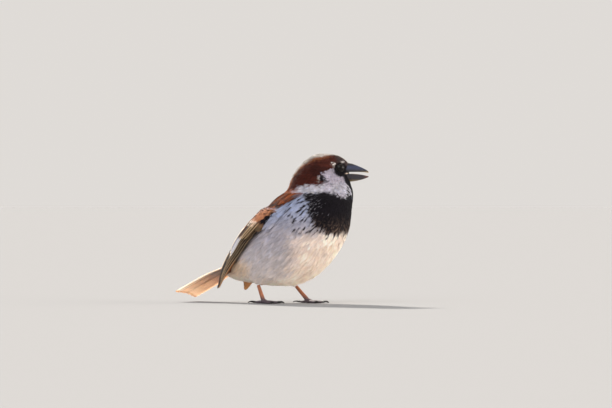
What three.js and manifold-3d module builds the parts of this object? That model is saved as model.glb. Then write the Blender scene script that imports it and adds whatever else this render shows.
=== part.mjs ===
// A male house sparrow, life size, standing with its head turned to its left, as a set of closed solids.
// Lengths are in millimetres: +X is the way the body faces, +Y is its left, +Z is up, and it stands on z = 0.
// The origin is on the floor, below the middle of the whole bird's box.
import * as THREE from "three";
import { mergeVertices } from "three/addons/utils/BufferGeometryUtils.js";
import Module from "manifold-3d";

const wasm = await Module();
wasm.setup();

// ---- Driving dimensions ----
const GAP = 0.3; // left between neighbouring pieces
const RIGHT = -1; // the sign of y on the bird's right
const LEFT = 1;
const HEAD_TURN = 30; // degrees that the head looks to the left of the body
const NECK_X = 25.4; // the upright axis that the neck turns about
const BELLY_ROOM = 1.1; // how far the leaning sections grow to clear the belly's underside by a gap
const BODY_AROUND = 28; // corners in each section of the body
const BODY_STEPS = 2; // rings made between one named section and the next

// The body from the crown to the root of the tail, as sections that lean from level to nearly upright.
// Each gives its turn about the neck's axis in degrees, then how far its back and front edges lie before that
// axis and how high, its half width, and how much it narrows towards the front.
const BODY_SECTIONS = [
  { turn: 1, back: [6.0, 89.7], front: [11.0, 89.7], half: 2.4, narrowing: 0.1 },
  { turn: 1, back: [2.6, 88.9], front: [14.8, 88.9], half: 5.2, narrowing: 0.1 },
  { turn: 1, back: [-1.6, 86.8], front: [19.2, 86.8], half: 8.0, narrowing: 0.2 },
  { turn: 1, back: [-5.6, 83.6], front: [22.2, 83.6], half: 10.0, narrowing: 0.3 },
  { turn: 1, back: [-9.8, 79.0], front: [22.6, 78.6], half: 11.7, narrowing: 0.35 },
  { turn: 1, back: [-12.6, 73.2], front: [23.2, 72.4], half: 13.2, narrowing: 0.25 },
  { turn: 0.85, back: [-15.4, 67.6], front: [25.0, 67.0], half: 15.6, narrowing: 0.1 },
  { turn: 0.4, back: [-20.0, 64.4], front: [25.4, 61.4], half: 18.6, narrowing: 0 },
  { turn: 0, back: [-26.6, 58.6], front: [25.0, 53.4], half: 21.6, narrowing: 0 },
  { turn: 0, back: [-33.0, 52.2], front: [24.0, 45.0], half: 23.2, narrowing: 0 },
  { turn: 0, back: [-39.8, 44.6], front: [20.0, 35.6], half: 23.8, narrowing: 0 },
  { turn: 0, back: [-45.6, 37.8], front: [13.8, 26.6], half: 23.2, narrowing: 0 },
  { turn: 0, back: [-50.6, 31.6], front: [4.2, 17.2], half: 21.4, narrowing: 0 },
  { turn: 0, back: [-54.8, 27.0], front: [-8.4, 10.8], half: 18.2, narrowing: 0 },
  { turn: 0, back: [-58.0, 24.0], front: [-22.4, 9.6], half: 14.2, narrowing: 0 },
  { turn: 0, back: [-60.2, 21.8], front: [-37.0, 10.8], half: 9.8, narrowing: 0 },
  { turn: 0, back: [-61.8, 20.0], front: [-50.2, 12.6], half: 6.0, narrowing: 0 },
];

// A folded wing, given for the left side: its lower and upper edge from the shoulder to the tip.
const WING_LOWER = [
  [15.0, 21.2, 56.5], [8.4, 22.2, 49.0], [1.8, 21.8, 42.2], [-5.2, 20.8, 35.0],
  [-11.5, 18.8, 28.0], [-18.0, 16.6, 22.0], [-25.4, 14.8, 15.2], [-31.8, 13.2, 8.4],
];
const WING_UPPER = [
  [3.6, 13.4, 58.4], [-4.8, 10.4, 52.8], [-13.0, 8.6, 45.4], [-19.8, 6.8, 38.6],
  [-25.0, 6.2, 31.8], [-28.8, 6.8, 26.4], [-31.4, 10.0, 17.6], [-32.4, 12.6, 9.2],
];
const LEFT_TIP_SPREAD = [3.6, 0, -1.6]; // how far the left wing's lower edge has slipped down and on, at its tip
const WING_BULGE = 3.4; // how far the wing's middle stands out from the line between its edges
const WING_DEPTH = 2.6; // how far it reaches in, before the body is cut from it
const VANE = 0.5; // half the thickness of the feathers that stand free of the body
const RIDGE = 0.22; // how far each flight feather stands above the next
// The layers of the wing's feathers: where each starts and ends along the wing, how far it reaches from the lower
// edge at 0 to the upper at 1, how high it lies, and how many feathers it shows with how long tips.
const COVERTS = { from: 0.03, to: () => 0.4, low: 0, high: 1, height: 1.3, feathers: 6, tips: 0.05 };
const SECONDARIES = {
  from: 0.3, to: (b) => 0.58 + 0.12 * b, low: 0.3, high: 1, height: 0.8, feathers: 6, tips: 0.03,
};
const PRIMARIES = {
  from: 0.32, to: (b) => 0.985 - 0.1 * b, low: 0, high: 0.96, height: 0.35, feathers: 7, tips: 0.012,
};

// The tail, which is rolled a little: its edges from the root to the tip.
const TAIL_RIGHT = [[-28.0, -5.0, 24.2], [-46.0, -8.4, 16.4], [-64.6, -11.0, 6.4]];
const TAIL_LEFT = [[-28.0, 5.0, 20.6], [-46.0, 8.4, 10.4], [-63.2, 11.0, 2.4]];
const TAIL_FEATHERS = 12;
const TAIL_NOTCH = 0.03; // how much shorter the middle feathers are, as a share of the length
const TAIL_TIPS = 0.02; // how deep the gaps between the feathers' tips are, as a share of the length
const TAIL_ARCH = 1.2; // how far the tail's middle stands above its edges

// The legs: where each ankle is, where its feathers end, and where its foot stands.
const LEGS = [
  { name: "right", ankle: [-8.0, -11.0, 18.5], cuff: 0.42, foot: [-1.3, -11.0], heading: -4 },
  { name: "left", ankle: [4.4, 11.0, 14.0], cuff: 0.3, foot: [16.8, 11.0], heading: -6 },
];
const SHANK_RADIUS = 1.1;
const TOE_RADIUS = 0.95;
const SOLE = 0.25; // how much of each toe's round underside is flat
const TOES = [
  { name: "inner", angle: 27, length: 8.8, claw: 3.4 },
  { name: "middle", angle: 0, length: 10.6, claw: 3.9 },
  { name: "outer", angle: -25, length: 9.0, claw: 3.4 },
  { name: "hind", angle: 180, length: 6.4, claw: 5.0 },
];

// The bill, as sections from inside the face to the tip: how far before the neck's axis, the heights of the
// upper and lower face of each half, and their half widths.
const BILL_SECTIONS = [
  { before: 17.0, upper: [85.6, 78.2], lower: [76.8, 73.2], half: 4.2 },
  { before: 20.4, upper: [84.9, 78.4], lower: [77.2, 72.5], half: 3.9 },
  { before: 24.0, upper: [83.5, 78.5], lower: [77.4, 72.7], half: 3.2 },
  { before: 27.0, upper: [82.4, 78.5], lower: [77.2, 73.2], half: 2.5 },
  { before: 30.0, upper: [81.1, 78.4], lower: [76.8, 73.9], half: 1.6 },
  { before: 32.4, upper: [79.9, 78.2], lower: [76.3, 74.7], half: 0.85 },
  { before: 33.9, upper: [78.8, 77.9], lower: [76.0, 75.3], half: 0.35 },
];
const EYE = { before: 16.7, side: 5.1, height: 80.7, radius: 2.9 };

// ---- Helpers ----
const point = (x, y, z) => new THREE.Vector3(x, y, z);
const radians = THREE.MathUtils.degToRad;

// A point given before, to the left of and above the foot of the neck's axis, with the head's turn times `turn`.
function turned(before, left, height, turn = 1) {
  const angle = radians(HEAD_TURN * turn);
  return point(
    NECK_X + before * Math.cos(angle) - left * Math.sin(angle),
    before * Math.sin(angle) + left * Math.cos(angle),
    height,
  );
}

// The Catmull-Rom value at `at`, counted in list places, of one number read from each item of a list.
function along(list, at, read) {
  const i = Math.min(Math.max(Math.floor(at), 0), list.length - 2);
  const t = at - i;
  const value = (k) => read(list[Math.min(Math.max(k, 0), list.length - 1)]);
  const [a, b, c, d] = [i - 1, i, i + 1, i + 2].map(value);
  return b + 0.5 * t * (c - a + t * (2 * a - 5 * b + 4 * c - d + t * (3 * (b - c) + d - a)));
}

// A closed geometry with its faces pointing out, from positions and corner numbers.
function closed(positions, index) {
  let volume = 0;
  const corner = (k) => new THREE.Vector3().fromArray(positions, 3 * k);
  for (let i = 0; i < index.length; i += 3) {
    const [a, b, c] = [corner(index[i]), corner(index[i + 1]), corner(index[i + 2])];
    volume += a.dot(b.cross(c));
  }
  const geometry = new THREE.BufferGeometry();
  geometry.setAttribute("position", new THREE.Float32BufferAttribute(positions, 3));
  geometry.setIndex(volume < 0 ? index.toReversed() : index);
  geometry.computeVertexNormals();
  return geometry;
}

// A closed geometry through rings of points, with a fan about the middle of each end.
function loft(rings) {
  const positions = [];
  const index = [];
  const around = rings[0].length;
  for (const ring of rings) for (const p of ring) positions.push(p.x, p.y, p.z);
  for (let i = 0; i + 1 < rings.length; i++)
    for (let j = 0; j < around; j++) {
      const [a, b] = [i * around + j, i * around + ((j + 1) % around)];
      index.push(a, b, b + around, a, b + around, a + around);
    }
  for (const end of [0, rings.length - 1]) {
    const middle = positions.length / 3;
    const centre = rings[end].reduce((sum, p) => sum.add(p), point(0, 0, 0)).divideScalar(around);
    positions.push(centre.x, centre.y, centre.z);
    for (let j = 0; j < around; j++) {
      const [a, b] = [end * around + j, end * around + ((j + 1) % around)];
      index.push(...(end === 0 ? [middle, b, a] : [middle, a, b]));
    }
  }
  return closed(positions, index);
}

// ---- The body ----
// One section of the body at a place counted in BODY_SECTIONS, grown by some millimetres all round.
function bodyRing(at, grow = 0, shift = 0) {
  const read = (name, k) => along(BODY_SECTIONS, at, (s) => (k === undefined ? s[name] : s[name][k]));
  const turn = read("turn");
  const back = turned(read("back", 0), 0, read("back", 1), turn);
  const front = turned(read("front", 0), 0, read("front", 1), turn);
  const left = turned(0, 1, 0, turn).sub(turned(0, 0, 0, turn));
  const centre = back.clone().add(front).multiplyScalar(0.5);
  const reach = front.clone().sub(centre);
  const forwards = reach.clone().normalize();
  const normal = forwards.clone().cross(left).normalize();
  const ring = [];
  for (let j = 0; j < BODY_AROUND; j++) {
    const angle = (2 * Math.PI * j) / BODY_AROUND;
    const narrow = 1 - read("narrowing") * Math.cos(angle);
    ring.push(
      centre
        .clone()
        .addScaledVector(forwards, (reach.length() + grow) * Math.cos(angle))
        .addScaledVector(left, (read("half") + grow) * Math.sin(angle) * narrow)
        .addScaledVector(normal, shift),
    );
  }
  return ring;
}

// The stretch of the body between two places in BODY_SECTIONS.
function bodyStretch(from, to, grow = 0, inset = 0) {
  const steps = Math.round((to - from) * BODY_STEPS);
  const rings = [bodyRing(from, grow, -inset)];
  for (let i = 1; i < steps; i++) rings.push(bodyRing(from + ((to - from) * i) / steps, grow));
  rings.push(bodyRing(to, grow, inset));
  return loft(rings);
}

// A solid that the boolean operations take, from a geometry whose shared corners are merged.
function solid(geometry) {
  const bare = geometry.clone();
  bare.deleteAttribute("normal");
  bare.deleteAttribute("uv");
  const merged = mergeVertices(bare, 1e-4);
  const vertProperties = new Float32Array(merged.attributes.position.array);
  const triVerts = new Uint32Array(merged.index.array);
  return new wasm.Manifold(new wasm.Mesh({ numProp: 3, vertProperties, triVerts }));
}

// The geometry of a solid.
function shell(made) {
  const { vertProperties, triVerts } = made.getMesh();
  return closed(Array.from(vertProperties), Array.from(triVerts));
}

// What is left of a geometry once others are cut from it, without crumbs.
function without(geometry, ...others) {
  const left = others.reduce((kept, other) => kept.subtract(solid(other)), solid(geometry));
  const pieces = left.decompose().sort((a, b) => b.volume() - a.volume());
  return shell(pieces[0]);
}

// One geometry of several that run into each other.
function joined(...geometries) {
  return shell(geometries.map(solid).reduce((whole, next) => whole.add(next)));
}

// A closed blade: `middle` gives a point for each place along and across, from 0 to 1, and `outer` and `inner`
// how far its two faces lie from there, along the outward normal.
function blade(middle, outer, inner, alongSteps, acrossSteps) {
  const positions = [];
  const index = [];
  const row = acrossSteps + 1;
  const step = 1e-3;
  const turnedOut = (a, b) => {
    const alongIt = middle(a + step, b).sub(middle(a - step, b));
    return alongIt.cross(middle(a, b + step).sub(middle(a, b - step))).normalize();
  };
  for (const face of [outer, inner])
    for (let i = 0; i <= alongSteps; i++)
      for (let j = 0; j <= acrossSteps; j++) {
        const [a, b] = [i / alongSteps, j / acrossSteps];
        const p = middle(a, b).addScaledVector(turnedOut(a, b), face(a, b));
        positions.push(p.x, p.y, p.z);
      }
  const under = (alongSteps + 1) * row;
  for (let i = 0; i < alongSteps; i++)
    for (let j = 0; j < acrossSteps; j++) {
      const k = i * row + j;
      const u = under + k;
      index.push(k, k + row, k + row + 1, k, k + row + 1, k + 1);
      index.push(u, u + row + 1, u + row, u, u + 1, u + row + 1);
    }
  const rim = [];
  for (let j = 0; j < acrossSteps; j++) rim.push(j);
  for (let i = 0; i < alongSteps; i++) rim.push(i * row + acrossSteps);
  for (let j = acrossSteps; j > 0; j--) rim.push(alongSteps * row + j);
  for (let i = alongSteps; i > 0; i--) rim.push(i * row);
  rim.forEach((a, i) => {
    const b = rim[(i + 1) % rim.length];
    index.push(a, b, under + b, a, under + b, under + a);
  });
  return closed(positions, index);
}

// A round rod along a curve, its radius given for each place from 0 to 1.
function rod(points, radius, steps, around = 8) {
  const curve = new THREE.CatmullRomCurve3(points);
  const frames = curve.computeFrenetFrames(steps);
  const rings = [];
  for (let i = 0; i <= steps; i++) {
    const ring = [];
    for (let j = 0; j < around; j++) {
      const angle = (2 * Math.PI * (j + 0.5)) / around;
      const reach = radius(i / steps);
      ring.push(
        curve
          .getPointAt(i / steps)
          .addScaledVector(frames.normals[i], reach * Math.cos(angle))
          .addScaledVector(frames.binormals[i], reach * Math.sin(angle)),
      );
    }
    rings.push(ring);
  }
  return loft(rings);
}

const ball = (centre, radius) =>
  new THREE.SphereGeometry(radius, 14, 9).translate(centre.x, centre.y, centre.z);

// ---- Wings ----
// A wing's middle surface, from the shoulder at 0 to the tip at 1, and from the lower edge at 0 to the upper.
function wingSurface(side) {
  const slip = (i) => (side === LEFT ? THREE.MathUtils.smoothstep(i, 4, 7) : 0);
  const edge = (list, spread) =>
    new THREE.CatmullRomCurve3(
      list.map(([x, y, z], i) => point(x, side * y, z).addScaledVector(spread, slip(i))),
    );
  const lower = edge(WING_LOWER, point(...LEFT_TIP_SPREAD));
  const upper = edge(WING_UPPER, point(0, 0, 0));
  return (a, b) => {
    const at = THREE.MathUtils.clamp(a, 0.001, 0.999);
    const [low, high] = [lower.getPoint(at), upper.getPoint(at)];
    const chord = high.clone().sub(low);
    const out = lower.getTangent(at).cross(chord).multiplyScalar(side).normalize();
    const bulge = WING_BULGE * (chord.length() / 20) ** 1.5 * (1 - (2 * b - 1) ** 2);
    return low.addScaledVector(chord, b).addScaledVector(out, bulge);
  };
}

// One layer of a wing: a blade over part of the wing's surface, its end drawn out into rounded feather tips.
function wingLayer(side, { from, to, low, high, height, feathers, tips, grow = 0, margin = 0 }) {
  const surface = wingSurface(side);
  const place = (a, b) => {
    const tip = tips * Math.abs(Math.sin(Math.PI * feathers * b));
    const edge = b === 0 ? -margin : b === 1 ? margin : 0;
    return surface(from + (to(b) - from + tip) * a, low + (high - low) * b + edge);
  };
  const ridge = (b) => (Math.round(2 * feathers * b) % 2 === 0 ? 0 : RIDGE);
  const free = (a) => THREE.MathUtils.smoothstep(from + (to(0.5) - from) * a, 0.5, 0.72);
  const rise = (a, b) => THREE.MathUtils.smoothstep(a, -0.15, 0.2) * (1 - 0.5 * (2 * b - 1) ** 4);
  const outer = (a, b) => side * (height * rise(a, b) * (1 - 0.35 * a) + ridge(b) + grow);
  const inner = (a) => -side * (WING_DEPTH * (1 - free(a)) + (VANE + grow) * free(a));
  return blade(place, outer, inner, 7, 2 * feathers);
}

// The room that a layer needs clear round it, for the layers that lie under it.
function wingRoom(side, layer) {
  const to = (b) => layer.to(b) + 0.008;
  return wingLayer(side, { ...layer, from: layer.from - 0.02, to, grow: GAP, margin: 0.025 });
}

// ---- The tail ----
function tailBlade() {
  const edge = (list) => new THREE.CatmullRomCurve3(list.map((p) => point(...p)));
  const [right, left] = [edge(TAIL_RIGHT), edge(TAIL_LEFT)];
  const place = (a, b) => {
    const across = THREE.MathUtils.clamp(b, 0, 1);
    const notch = TAIL_NOTCH * (1 - Math.abs(2 * across - 1));
    const tip = TAIL_TIPS * (1 - Math.abs(Math.sin(Math.PI * TAIL_FEATHERS * across)));
    const at = THREE.MathUtils.clamp(a * (1 - notch - tip), 0, 1);
    return right.getPoint(at).lerp(left.getPoint(at), b);
  };
  const arch = (b) => TAIL_ARCH * (1 - (2 * b - 1) ** 2);
  const ridge = (b) => (Math.round(2 * TAIL_FEATHERS * b) % 2 === 0 ? 0 : RIDGE);
  const top = (a, b) => -(VANE + arch(b) + ridge(b));
  const bottom = (a, b) => VANE - arch(b);
  return blade(place, top, bottom, 5, 2 * TAIL_FEATHERS);
}

// ---- Bill ----
// The upper or lower half of the bill: flat where the halves face each other and round on the other side.
function billHalf(half) {
  const sign = half === "upper" ? 1 : -1;
  const rings = BILL_SECTIONS.map((section) => {
    const [top, bottom] = section[half];
    const [ridge, edge] = sign > 0 ? [top, bottom] : [bottom, top];
    const ring = [];
    for (let i = 0; i <= 10; i++) {
      const angle = (Math.PI * i) / 10;
      const left = section.half * Math.cos(angle);
      ring.push(turned(section.before, left, edge + (ridge - edge) * Math.sin(angle) ** 0.9));
    }
    for (const share of [-0.5, 0, 0.5]) ring.push(turned(section.before, section.half * share, edge));
    return ring;
  });
  return loft(rings);
}

// ---- Legs ----
const floor = new THREE.BoxGeometry(200, 200, 20).translate(0, 0, -10);

// A point so far out from a foot's middle, in a direction counted from where the foot heads.
function fromFoot({ foot, heading }, angle, distance, height) {
  const direction = radians(heading + angle);
  return point(foot[0] + distance * Math.cos(direction), foot[1] + distance * Math.sin(direction), height);
}

// The rods that a foot is made of, its pad and its four toes, grown by some millimetres.
function footRods(leg, grow = 0) {
  const height = TOE_RADIUS - SOLE;
  const pad = rod(
    [fromFoot(leg, 180, 1.6, height + 0.2), fromFoot(leg, 0, 0, height + 0.7), fromFoot(leg, 0, 2.2, height)],
    (at) => 1.55 - 0.5 * (2 * at - 1) ** 2 + grow,
    4,
  );
  const toes = TOES.map(({ angle, length }) =>
    rod(
      [
        fromFoot(leg, angle, 0.3, height + 0.3),
        fromFoot(leg, angle, 0.35 * length, height + 0.25),
        fromFoot(leg, angle, 0.7 * length, height),
        fromFoot(leg, angle, length, height),
      ],
      (at) => TOE_RADIUS * (1.08 - 0.22 * at + 0.08 * Math.cos(6 * Math.PI * at)) + grow,
      5,
      7,
    ),
  );
  return [pad, ...toes];
}
const footSolid = (leg) => without(joined(...footRods(leg)), floor);

function clawSolid(leg, { angle, length, claw }) {
  const start = length + GAP;
  return rod(
    [
      fromFoot(leg, angle, start, 0.85),
      fromFoot(leg, angle, start + 0.45 * claw, 1.15),
      fromFoot(leg, angle, start + 0.8 * claw, 0.85),
      fromFoot(leg, angle, start + claw, 0.3),
    ],
    (at) => 0.62 * (1 - at) ** 0.7 + 0.14,
    5,
    6,
  );
}

// The shank from its cuff of feathers down to the foot, and the cuff, which runs up into the body.
function legLine(leg) {
  const [ankle, sole] = [point(...leg.ankle), point(leg.foot[0], leg.foot[1], 1.2)];
  return (at) => ankle.clone().lerp(sole, at);
}
function shankSolid(leg) {
  const line = legLine(leg);
  const start = leg.cuff + GAP / line(0).distanceTo(line(1));
  const points = [start, 0.6, 0.8, 1].map(line);
  return rod(points, (at) => SHANK_RADIUS * (0.95 + 0.35 * (at * at)), 5);
}
function cuffSolid(leg) {
  const line = legLine(leg);
  return rod([line(-0.35), line(0), line(leg.cuff)], (at) => 6 - 4.3 * at ** 0.8, 5, 10);
}

// ---- The bird ----
const bird = new THREE.Group();
bird.name = "house_sparrow";
function add(name, geometry, colour, roughness) {
  const material = new THREE.MeshStandardMaterial({ color: colour, roughness, metalness: 0 });
  const mesh = new THREE.Mesh(geometry, material);
  mesh.name = name;
  bird.add(mesh);
}

const LAST = BODY_SECTIONS.length - 1;
const NECK_TOP = 5.4; // where the neck and the rump begin and end, in places in BODY_SECTIONS
const NECK_FOOT = 7.4;
const RUMP_TOP = 14;
const bodyRoom = bodyStretch(0, LAST, GAP, -GAP / 2);
const bellyRoom = bodyStretch(0, LAST, BELLY_ROOM, -GAP / 2);
const eyes = [RIGHT, LEFT].map((side) => ({
  name: side === RIGHT ? "eye_right" : "eye_left",
  centre: turned(EYE.before, side * EYE.side, EYE.height),
}));
const sockets = eyes.map(({ centre }) => ball(centre, EYE.radius + GAP));

add("head", without(bodyStretch(0, NECK_TOP, 0, GAP / 2), ...sockets), 0x5e2c1e, 0.8);
add("neck", bodyStretch(NECK_TOP, NECK_FOOT, 0, GAP / 2), 0x2c2828, 0.8);
add("trunk", bodyStretch(NECK_FOOT, RUMP_TOP, 0, GAP / 2), 0xb3aaa8, 0.8);
add("rump", bodyStretch(RUMP_TOP, LAST, 0, GAP / 2), 0xcbbfb0, 0.8);
for (const { name, centre } of eyes) add(name, ball(centre, EYE.radius), 0x120c0a, 0.05);
for (const half of ["upper", "lower"]) add(`bill_${half}`, without(billHalf(half), bodyRoom), 0x2b2c38, 0.35);
for (const side of [RIGHT, LEFT]) {
  const name = side === RIGHT ? "wing_right" : "wing_left";
  const covertsRoom = wingRoom(side, COVERTS);
  const secondariesRoom = wingRoom(side, SECONDARIES);
  const coverts = without(wingLayer(side, COVERTS), bodyRoom);
  const secondaries = without(wingLayer(side, SECONDARIES), bodyRoom, covertsRoom);
  const primaries = without(wingLayer(side, PRIMARIES), bodyRoom, covertsRoom, secondariesRoom);
  add(`${name}_coverts`, coverts, 0x8a4a2c, 0.7);
  add(`${name}_secondaries`, secondaries, 0x6a5a48, 0.7);
  add(`${name}_primaries`, primaries, 0x4a3b2e, 0.7);
}
add("tail", without(tailBlade(), bodyRoom), 0x8a6f5a, 0.7);
for (const leg of LEGS) {
  const footRoom = footRods(leg, GAP);
  add(`cuff_${leg.name}`, without(cuffSolid(leg), bellyRoom), 0xc9bca8, 0.8);
  add(`shank_${leg.name}`, without(shankSolid(leg), bellyRoom, ...footRoom), 0xb5714f, 0.5);
  add(`foot_${leg.name}`, footSolid(leg), 0x4a3e40, 0.55);
  for (const toe of TOES) add(`claw_${leg.name}_${toe.name}`, clawSolid(leg, toe), 0x1e1a1a, 0.35);
}

const middle = new THREE.Box3().setFromObject(bird).getCenter(point(0, 0, 0));
bird.position.set(-middle.x, -middle.y, 0);
export default bird;
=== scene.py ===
# %% [markdown]
# # A house sparrow, feather by feather
# A male house sparrow stands with its head turned to its left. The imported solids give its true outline,
# from the bill to the tips of its feathers. This lesson dresses them: one skin lies a little inside the
# solids, soft tufts cover it out to the outline, and the wing and tail feathers are modelled one by one.

# %% Load the fixed frame
import math

import bpy
import numpy as np
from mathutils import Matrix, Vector, noise
from mathutils.bvhtree import BVHTree
from mathutils.kdtree import KDTree


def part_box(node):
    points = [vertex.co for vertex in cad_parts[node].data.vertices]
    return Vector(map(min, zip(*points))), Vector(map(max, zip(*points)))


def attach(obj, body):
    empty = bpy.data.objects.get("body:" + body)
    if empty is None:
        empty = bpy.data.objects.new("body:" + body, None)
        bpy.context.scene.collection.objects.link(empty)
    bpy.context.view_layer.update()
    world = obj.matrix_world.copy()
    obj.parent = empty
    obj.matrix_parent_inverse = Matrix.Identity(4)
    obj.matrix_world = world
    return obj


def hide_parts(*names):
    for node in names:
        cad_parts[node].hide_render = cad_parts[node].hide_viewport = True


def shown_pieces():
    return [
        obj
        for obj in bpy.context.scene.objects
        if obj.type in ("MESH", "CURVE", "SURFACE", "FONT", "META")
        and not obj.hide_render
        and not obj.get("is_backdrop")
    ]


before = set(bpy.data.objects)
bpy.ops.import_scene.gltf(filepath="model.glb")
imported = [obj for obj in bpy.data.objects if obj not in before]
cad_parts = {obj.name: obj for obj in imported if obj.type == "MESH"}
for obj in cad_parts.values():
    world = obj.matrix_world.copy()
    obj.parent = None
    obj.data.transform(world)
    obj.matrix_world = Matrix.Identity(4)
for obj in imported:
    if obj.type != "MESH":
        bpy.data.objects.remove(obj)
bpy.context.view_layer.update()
MM = 0.001
dice = np.random.default_rng(11)


# %% [markdown]
# ## Helpers for modelling as by hand
# An operator acts on all that is selected, so each step first selects just its own piece. A node of the
# frame is never changed: a piece that starts from one is made from a copy, whose loose triangles are merged
# first.

# %% Select, copy, apply
def only(*pieces):
    """Selects these pieces alone and makes the last one active."""
    bpy.ops.object.select_all(action="DESELECT")
    for piece in pieces:
        piece.select_set(True)
    bpy.context.view_layer.objects.active = pieces[-1]


def in_edit(piece, operator, **settings):
    """Runs one edit mode operator on the whole piece."""
    only(piece)
    bpy.ops.object.mode_set(mode="EDIT")
    bpy.ops.mesh.select_all(action="SELECT")
    operator(**settings)
    bpy.ops.object.mode_set(mode="OBJECT")


def join(name, pieces):
    """One piece from several, under a new name."""
    only(*pieces)
    if len(pieces) > 1:
        bpy.ops.object.join()
    piece = bpy.context.object
    piece.name = piece.data.name = name
    return piece


def twin(name, *nodes):
    """One new piece with the shape of these nodes, its corners merged."""
    copies = []
    for node in nodes:
        copied = bpy.data.objects.new(name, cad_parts[node].data.copy())
        bpy.context.scene.collection.objects.link(copied)
        copies.append(copied)
    piece = join(name, copies)
    piece.data.materials.clear()
    in_edit(piece, bpy.ops.mesh.remove_doubles, threshold=0.005 * MM)
    return piece


def apply(piece, kind, **settings):
    """Adds a modifier with these settings and applies it."""
    only(piece)
    modifier = piece.modifiers.new(kind.lower(), kind)
    for key, value in settings.items():
        setattr(modifier, key, value)
    bpy.ops.object.modifier_apply(modifier=modifier.name)


def settle(piece):
    """Applies a piece's place, so that its object sits at the origin."""
    only(piece)
    bpy.ops.object.transform_apply(location=True, rotation=True, scale=True)


# %% Read and move corners
def corners(piece):
    """The places of a piece's corners, in metres."""
    found = np.zeros(len(piece.data.vertices) * 3)
    piece.data.vertices.foreach_get("co", found)
    return found.reshape(-1, 3)


def outward(piece):
    """The outward direction at each of a piece's corners."""
    found = np.zeros(len(piece.data.vertices) * 3)
    piece.data.vertices.foreach_get("normal", found)
    return found.reshape(-1, 3)


def move_corners(piece, places):
    piece.data.vertices.foreach_set("co", np.ascontiguousarray(places, np.float32).ravel())
    piece.data.update()


def triangles(piece):
    return sum(len(p.vertices) - 2 for p in piece.data.polygons)


def ride(piece, slot, *nodes):
    """The piece rides on the body and stands for these nodes, which are hidden. `slot` is not used."""
    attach(piece, "root")
    if nodes:
        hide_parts(*nodes)
    print(piece.name, "has", triangles(piece), "triangles")


# %% [markdown]
# ## Where things are on the bird
# The bill, the eyes and the bib are easiest to place in the head's own directions. `place` therefore
# measures every point from the upright axis that the neck turns about, with the turn taken out: how far
# ahead it lies, how far to the side, and how high. The eyes' own boxes say where the head is and how far it
# is turned.

# %% Measure the head
SIDES = {"right": -1, "left": 1}


def middle(node):
    """The middle of a node's box."""
    low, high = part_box(node)
    return (low + high) / 2


eye_middle = {side: middle(f"eye_{side}") for side in SIDES}
EYE_SWELL = 1.01
eye_radius = (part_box("eye_right")[1].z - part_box("eye_right")[0].z) / 2 * EYE_SWELL
head_left = (eye_middle["left"] - eye_middle["right"]).normalized()
head_ahead = head_left.cross(Vector((0, 0, 1)))
head_turn = math.atan2(head_ahead.y, head_ahead.x)
between_eyes = (eye_middle["left"] + eye_middle["right"]) / 2
EYES_BEFORE_NECK = 16.7
neck_x, neck_y, _ = (between_eyes - head_ahead * EYES_BEFORE_NECK * MM) / MM
TURN_STARTS, TURN_ENDS = 54, 72
print("the head is turned by", round(math.degrees(head_turn), 1), "degrees")
print("the eyes are", round(between_eyes.z / MM, 1), "mm high")


# %% Places in the head's own directions
def smooth(value, low, high):
    """0 below `low`, 1 above `high` and a soft step between."""
    t = np.clip((value - low) / (high - low), 0, 1)
    return t * t * (3 - 2 * t)


def place(points):
    """Millimetres ahead of the neck's axis, to its left and up, with the turn of the head taken out."""
    x, y, up = points[:, 0] / MM - neck_x, points[:, 1] / MM - neck_y, points[:, 2] / MM
    turn = head_turn * smooth(up, TURN_STARTS, TURN_ENDS)
    return x * np.cos(turn) + y * np.sin(turn), y * np.cos(turn) - x * np.sin(turn), up


BILL_BASE = np.array([22.5, 0.0, 78.5])


def from_bill(points):
    """Millimetres from the middle of the bill's base."""
    ahead, aside, up = place(points)
    return np.sqrt((ahead - BILL_BASE[0]) ** 2 + aside**2 + (up - BILL_BASE[2]) ** 2)


# %% [markdown]
# ## The markings
# A male's colours are laid on from the widest to the smallest, as a painter would: grey flanks and a cream
# belly, the striped back, the pale band round the neck, the chestnut crown and the pale cheek, then the
# black mask and bib, and last a few small pale spots. They could be painted by hand on a map, but a function
# of place needs no map, and skin and feathers can ask the same one, so that their markings agree.

# %% A colour from its code
def paint(code):
    """A hex colour as linear light."""
    srgb = np.array([int(code[i : i + 2], 16) / 255 for i in (0, 2, 4)])
    return np.where(srgb <= 0.04045, srgb / 12.92, ((srgb + 0.055) / 1.055) ** 2.4)


# %% The palette
LILAC_GREY, BLUE_GREY = paint("aea9b3"), paint("a3abc6")
CREAM, WARM_CREAM, VENT_BUFF = paint("fbeee6"), paint("ffe9d8"), paint("dcc0a0")
# The dark chestnut is painted as in shade; the orange chestnut is painted sunlight on it.
CHESTNUT_IN_SHADE, DARK_CHESTNUT, SUNLIT_CHESTNUT = paint("4a2018"), paint("2a1210"), paint("985a36")
# The crown's grey is painted paler than the real grey, as in sunlight.
MANTLE, RUMP_GREY, SUNLIT_CROWN_GREY = paint("924c28"), paint("8d7c6c"), paint("bdb5ae")
CHEEK, NECK_BAND, WHITE = paint("aea7b6"), paint("bab8c2"), paint("f2ebe6")
BLACK, FOREHEAD, FRINGE = paint("110d14"), paint("473b3b"), paint("9c8270")
DARK_STREAK, COVERT_SHADE = paint("221c1e"), paint("6e5a44")
# The shoulder's pale rim colour is painted sunlight along its upper part.
SHOULDER_ORANGE, SHOULDER_SUNLIT_RIM = paint("ba7e5c"), paint("f0d8c8")
print("black plumage is", np.round(BLACK, 4), "and white is", np.round(WHITE, 2), "in linear light")

# %% [markdown]
# The edges of the markings are curves seen from the side: each pair of lists says how far ahead an edge lies
# at each height, or how high it lies at each place ahead. Small marks are soft ovals.

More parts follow.
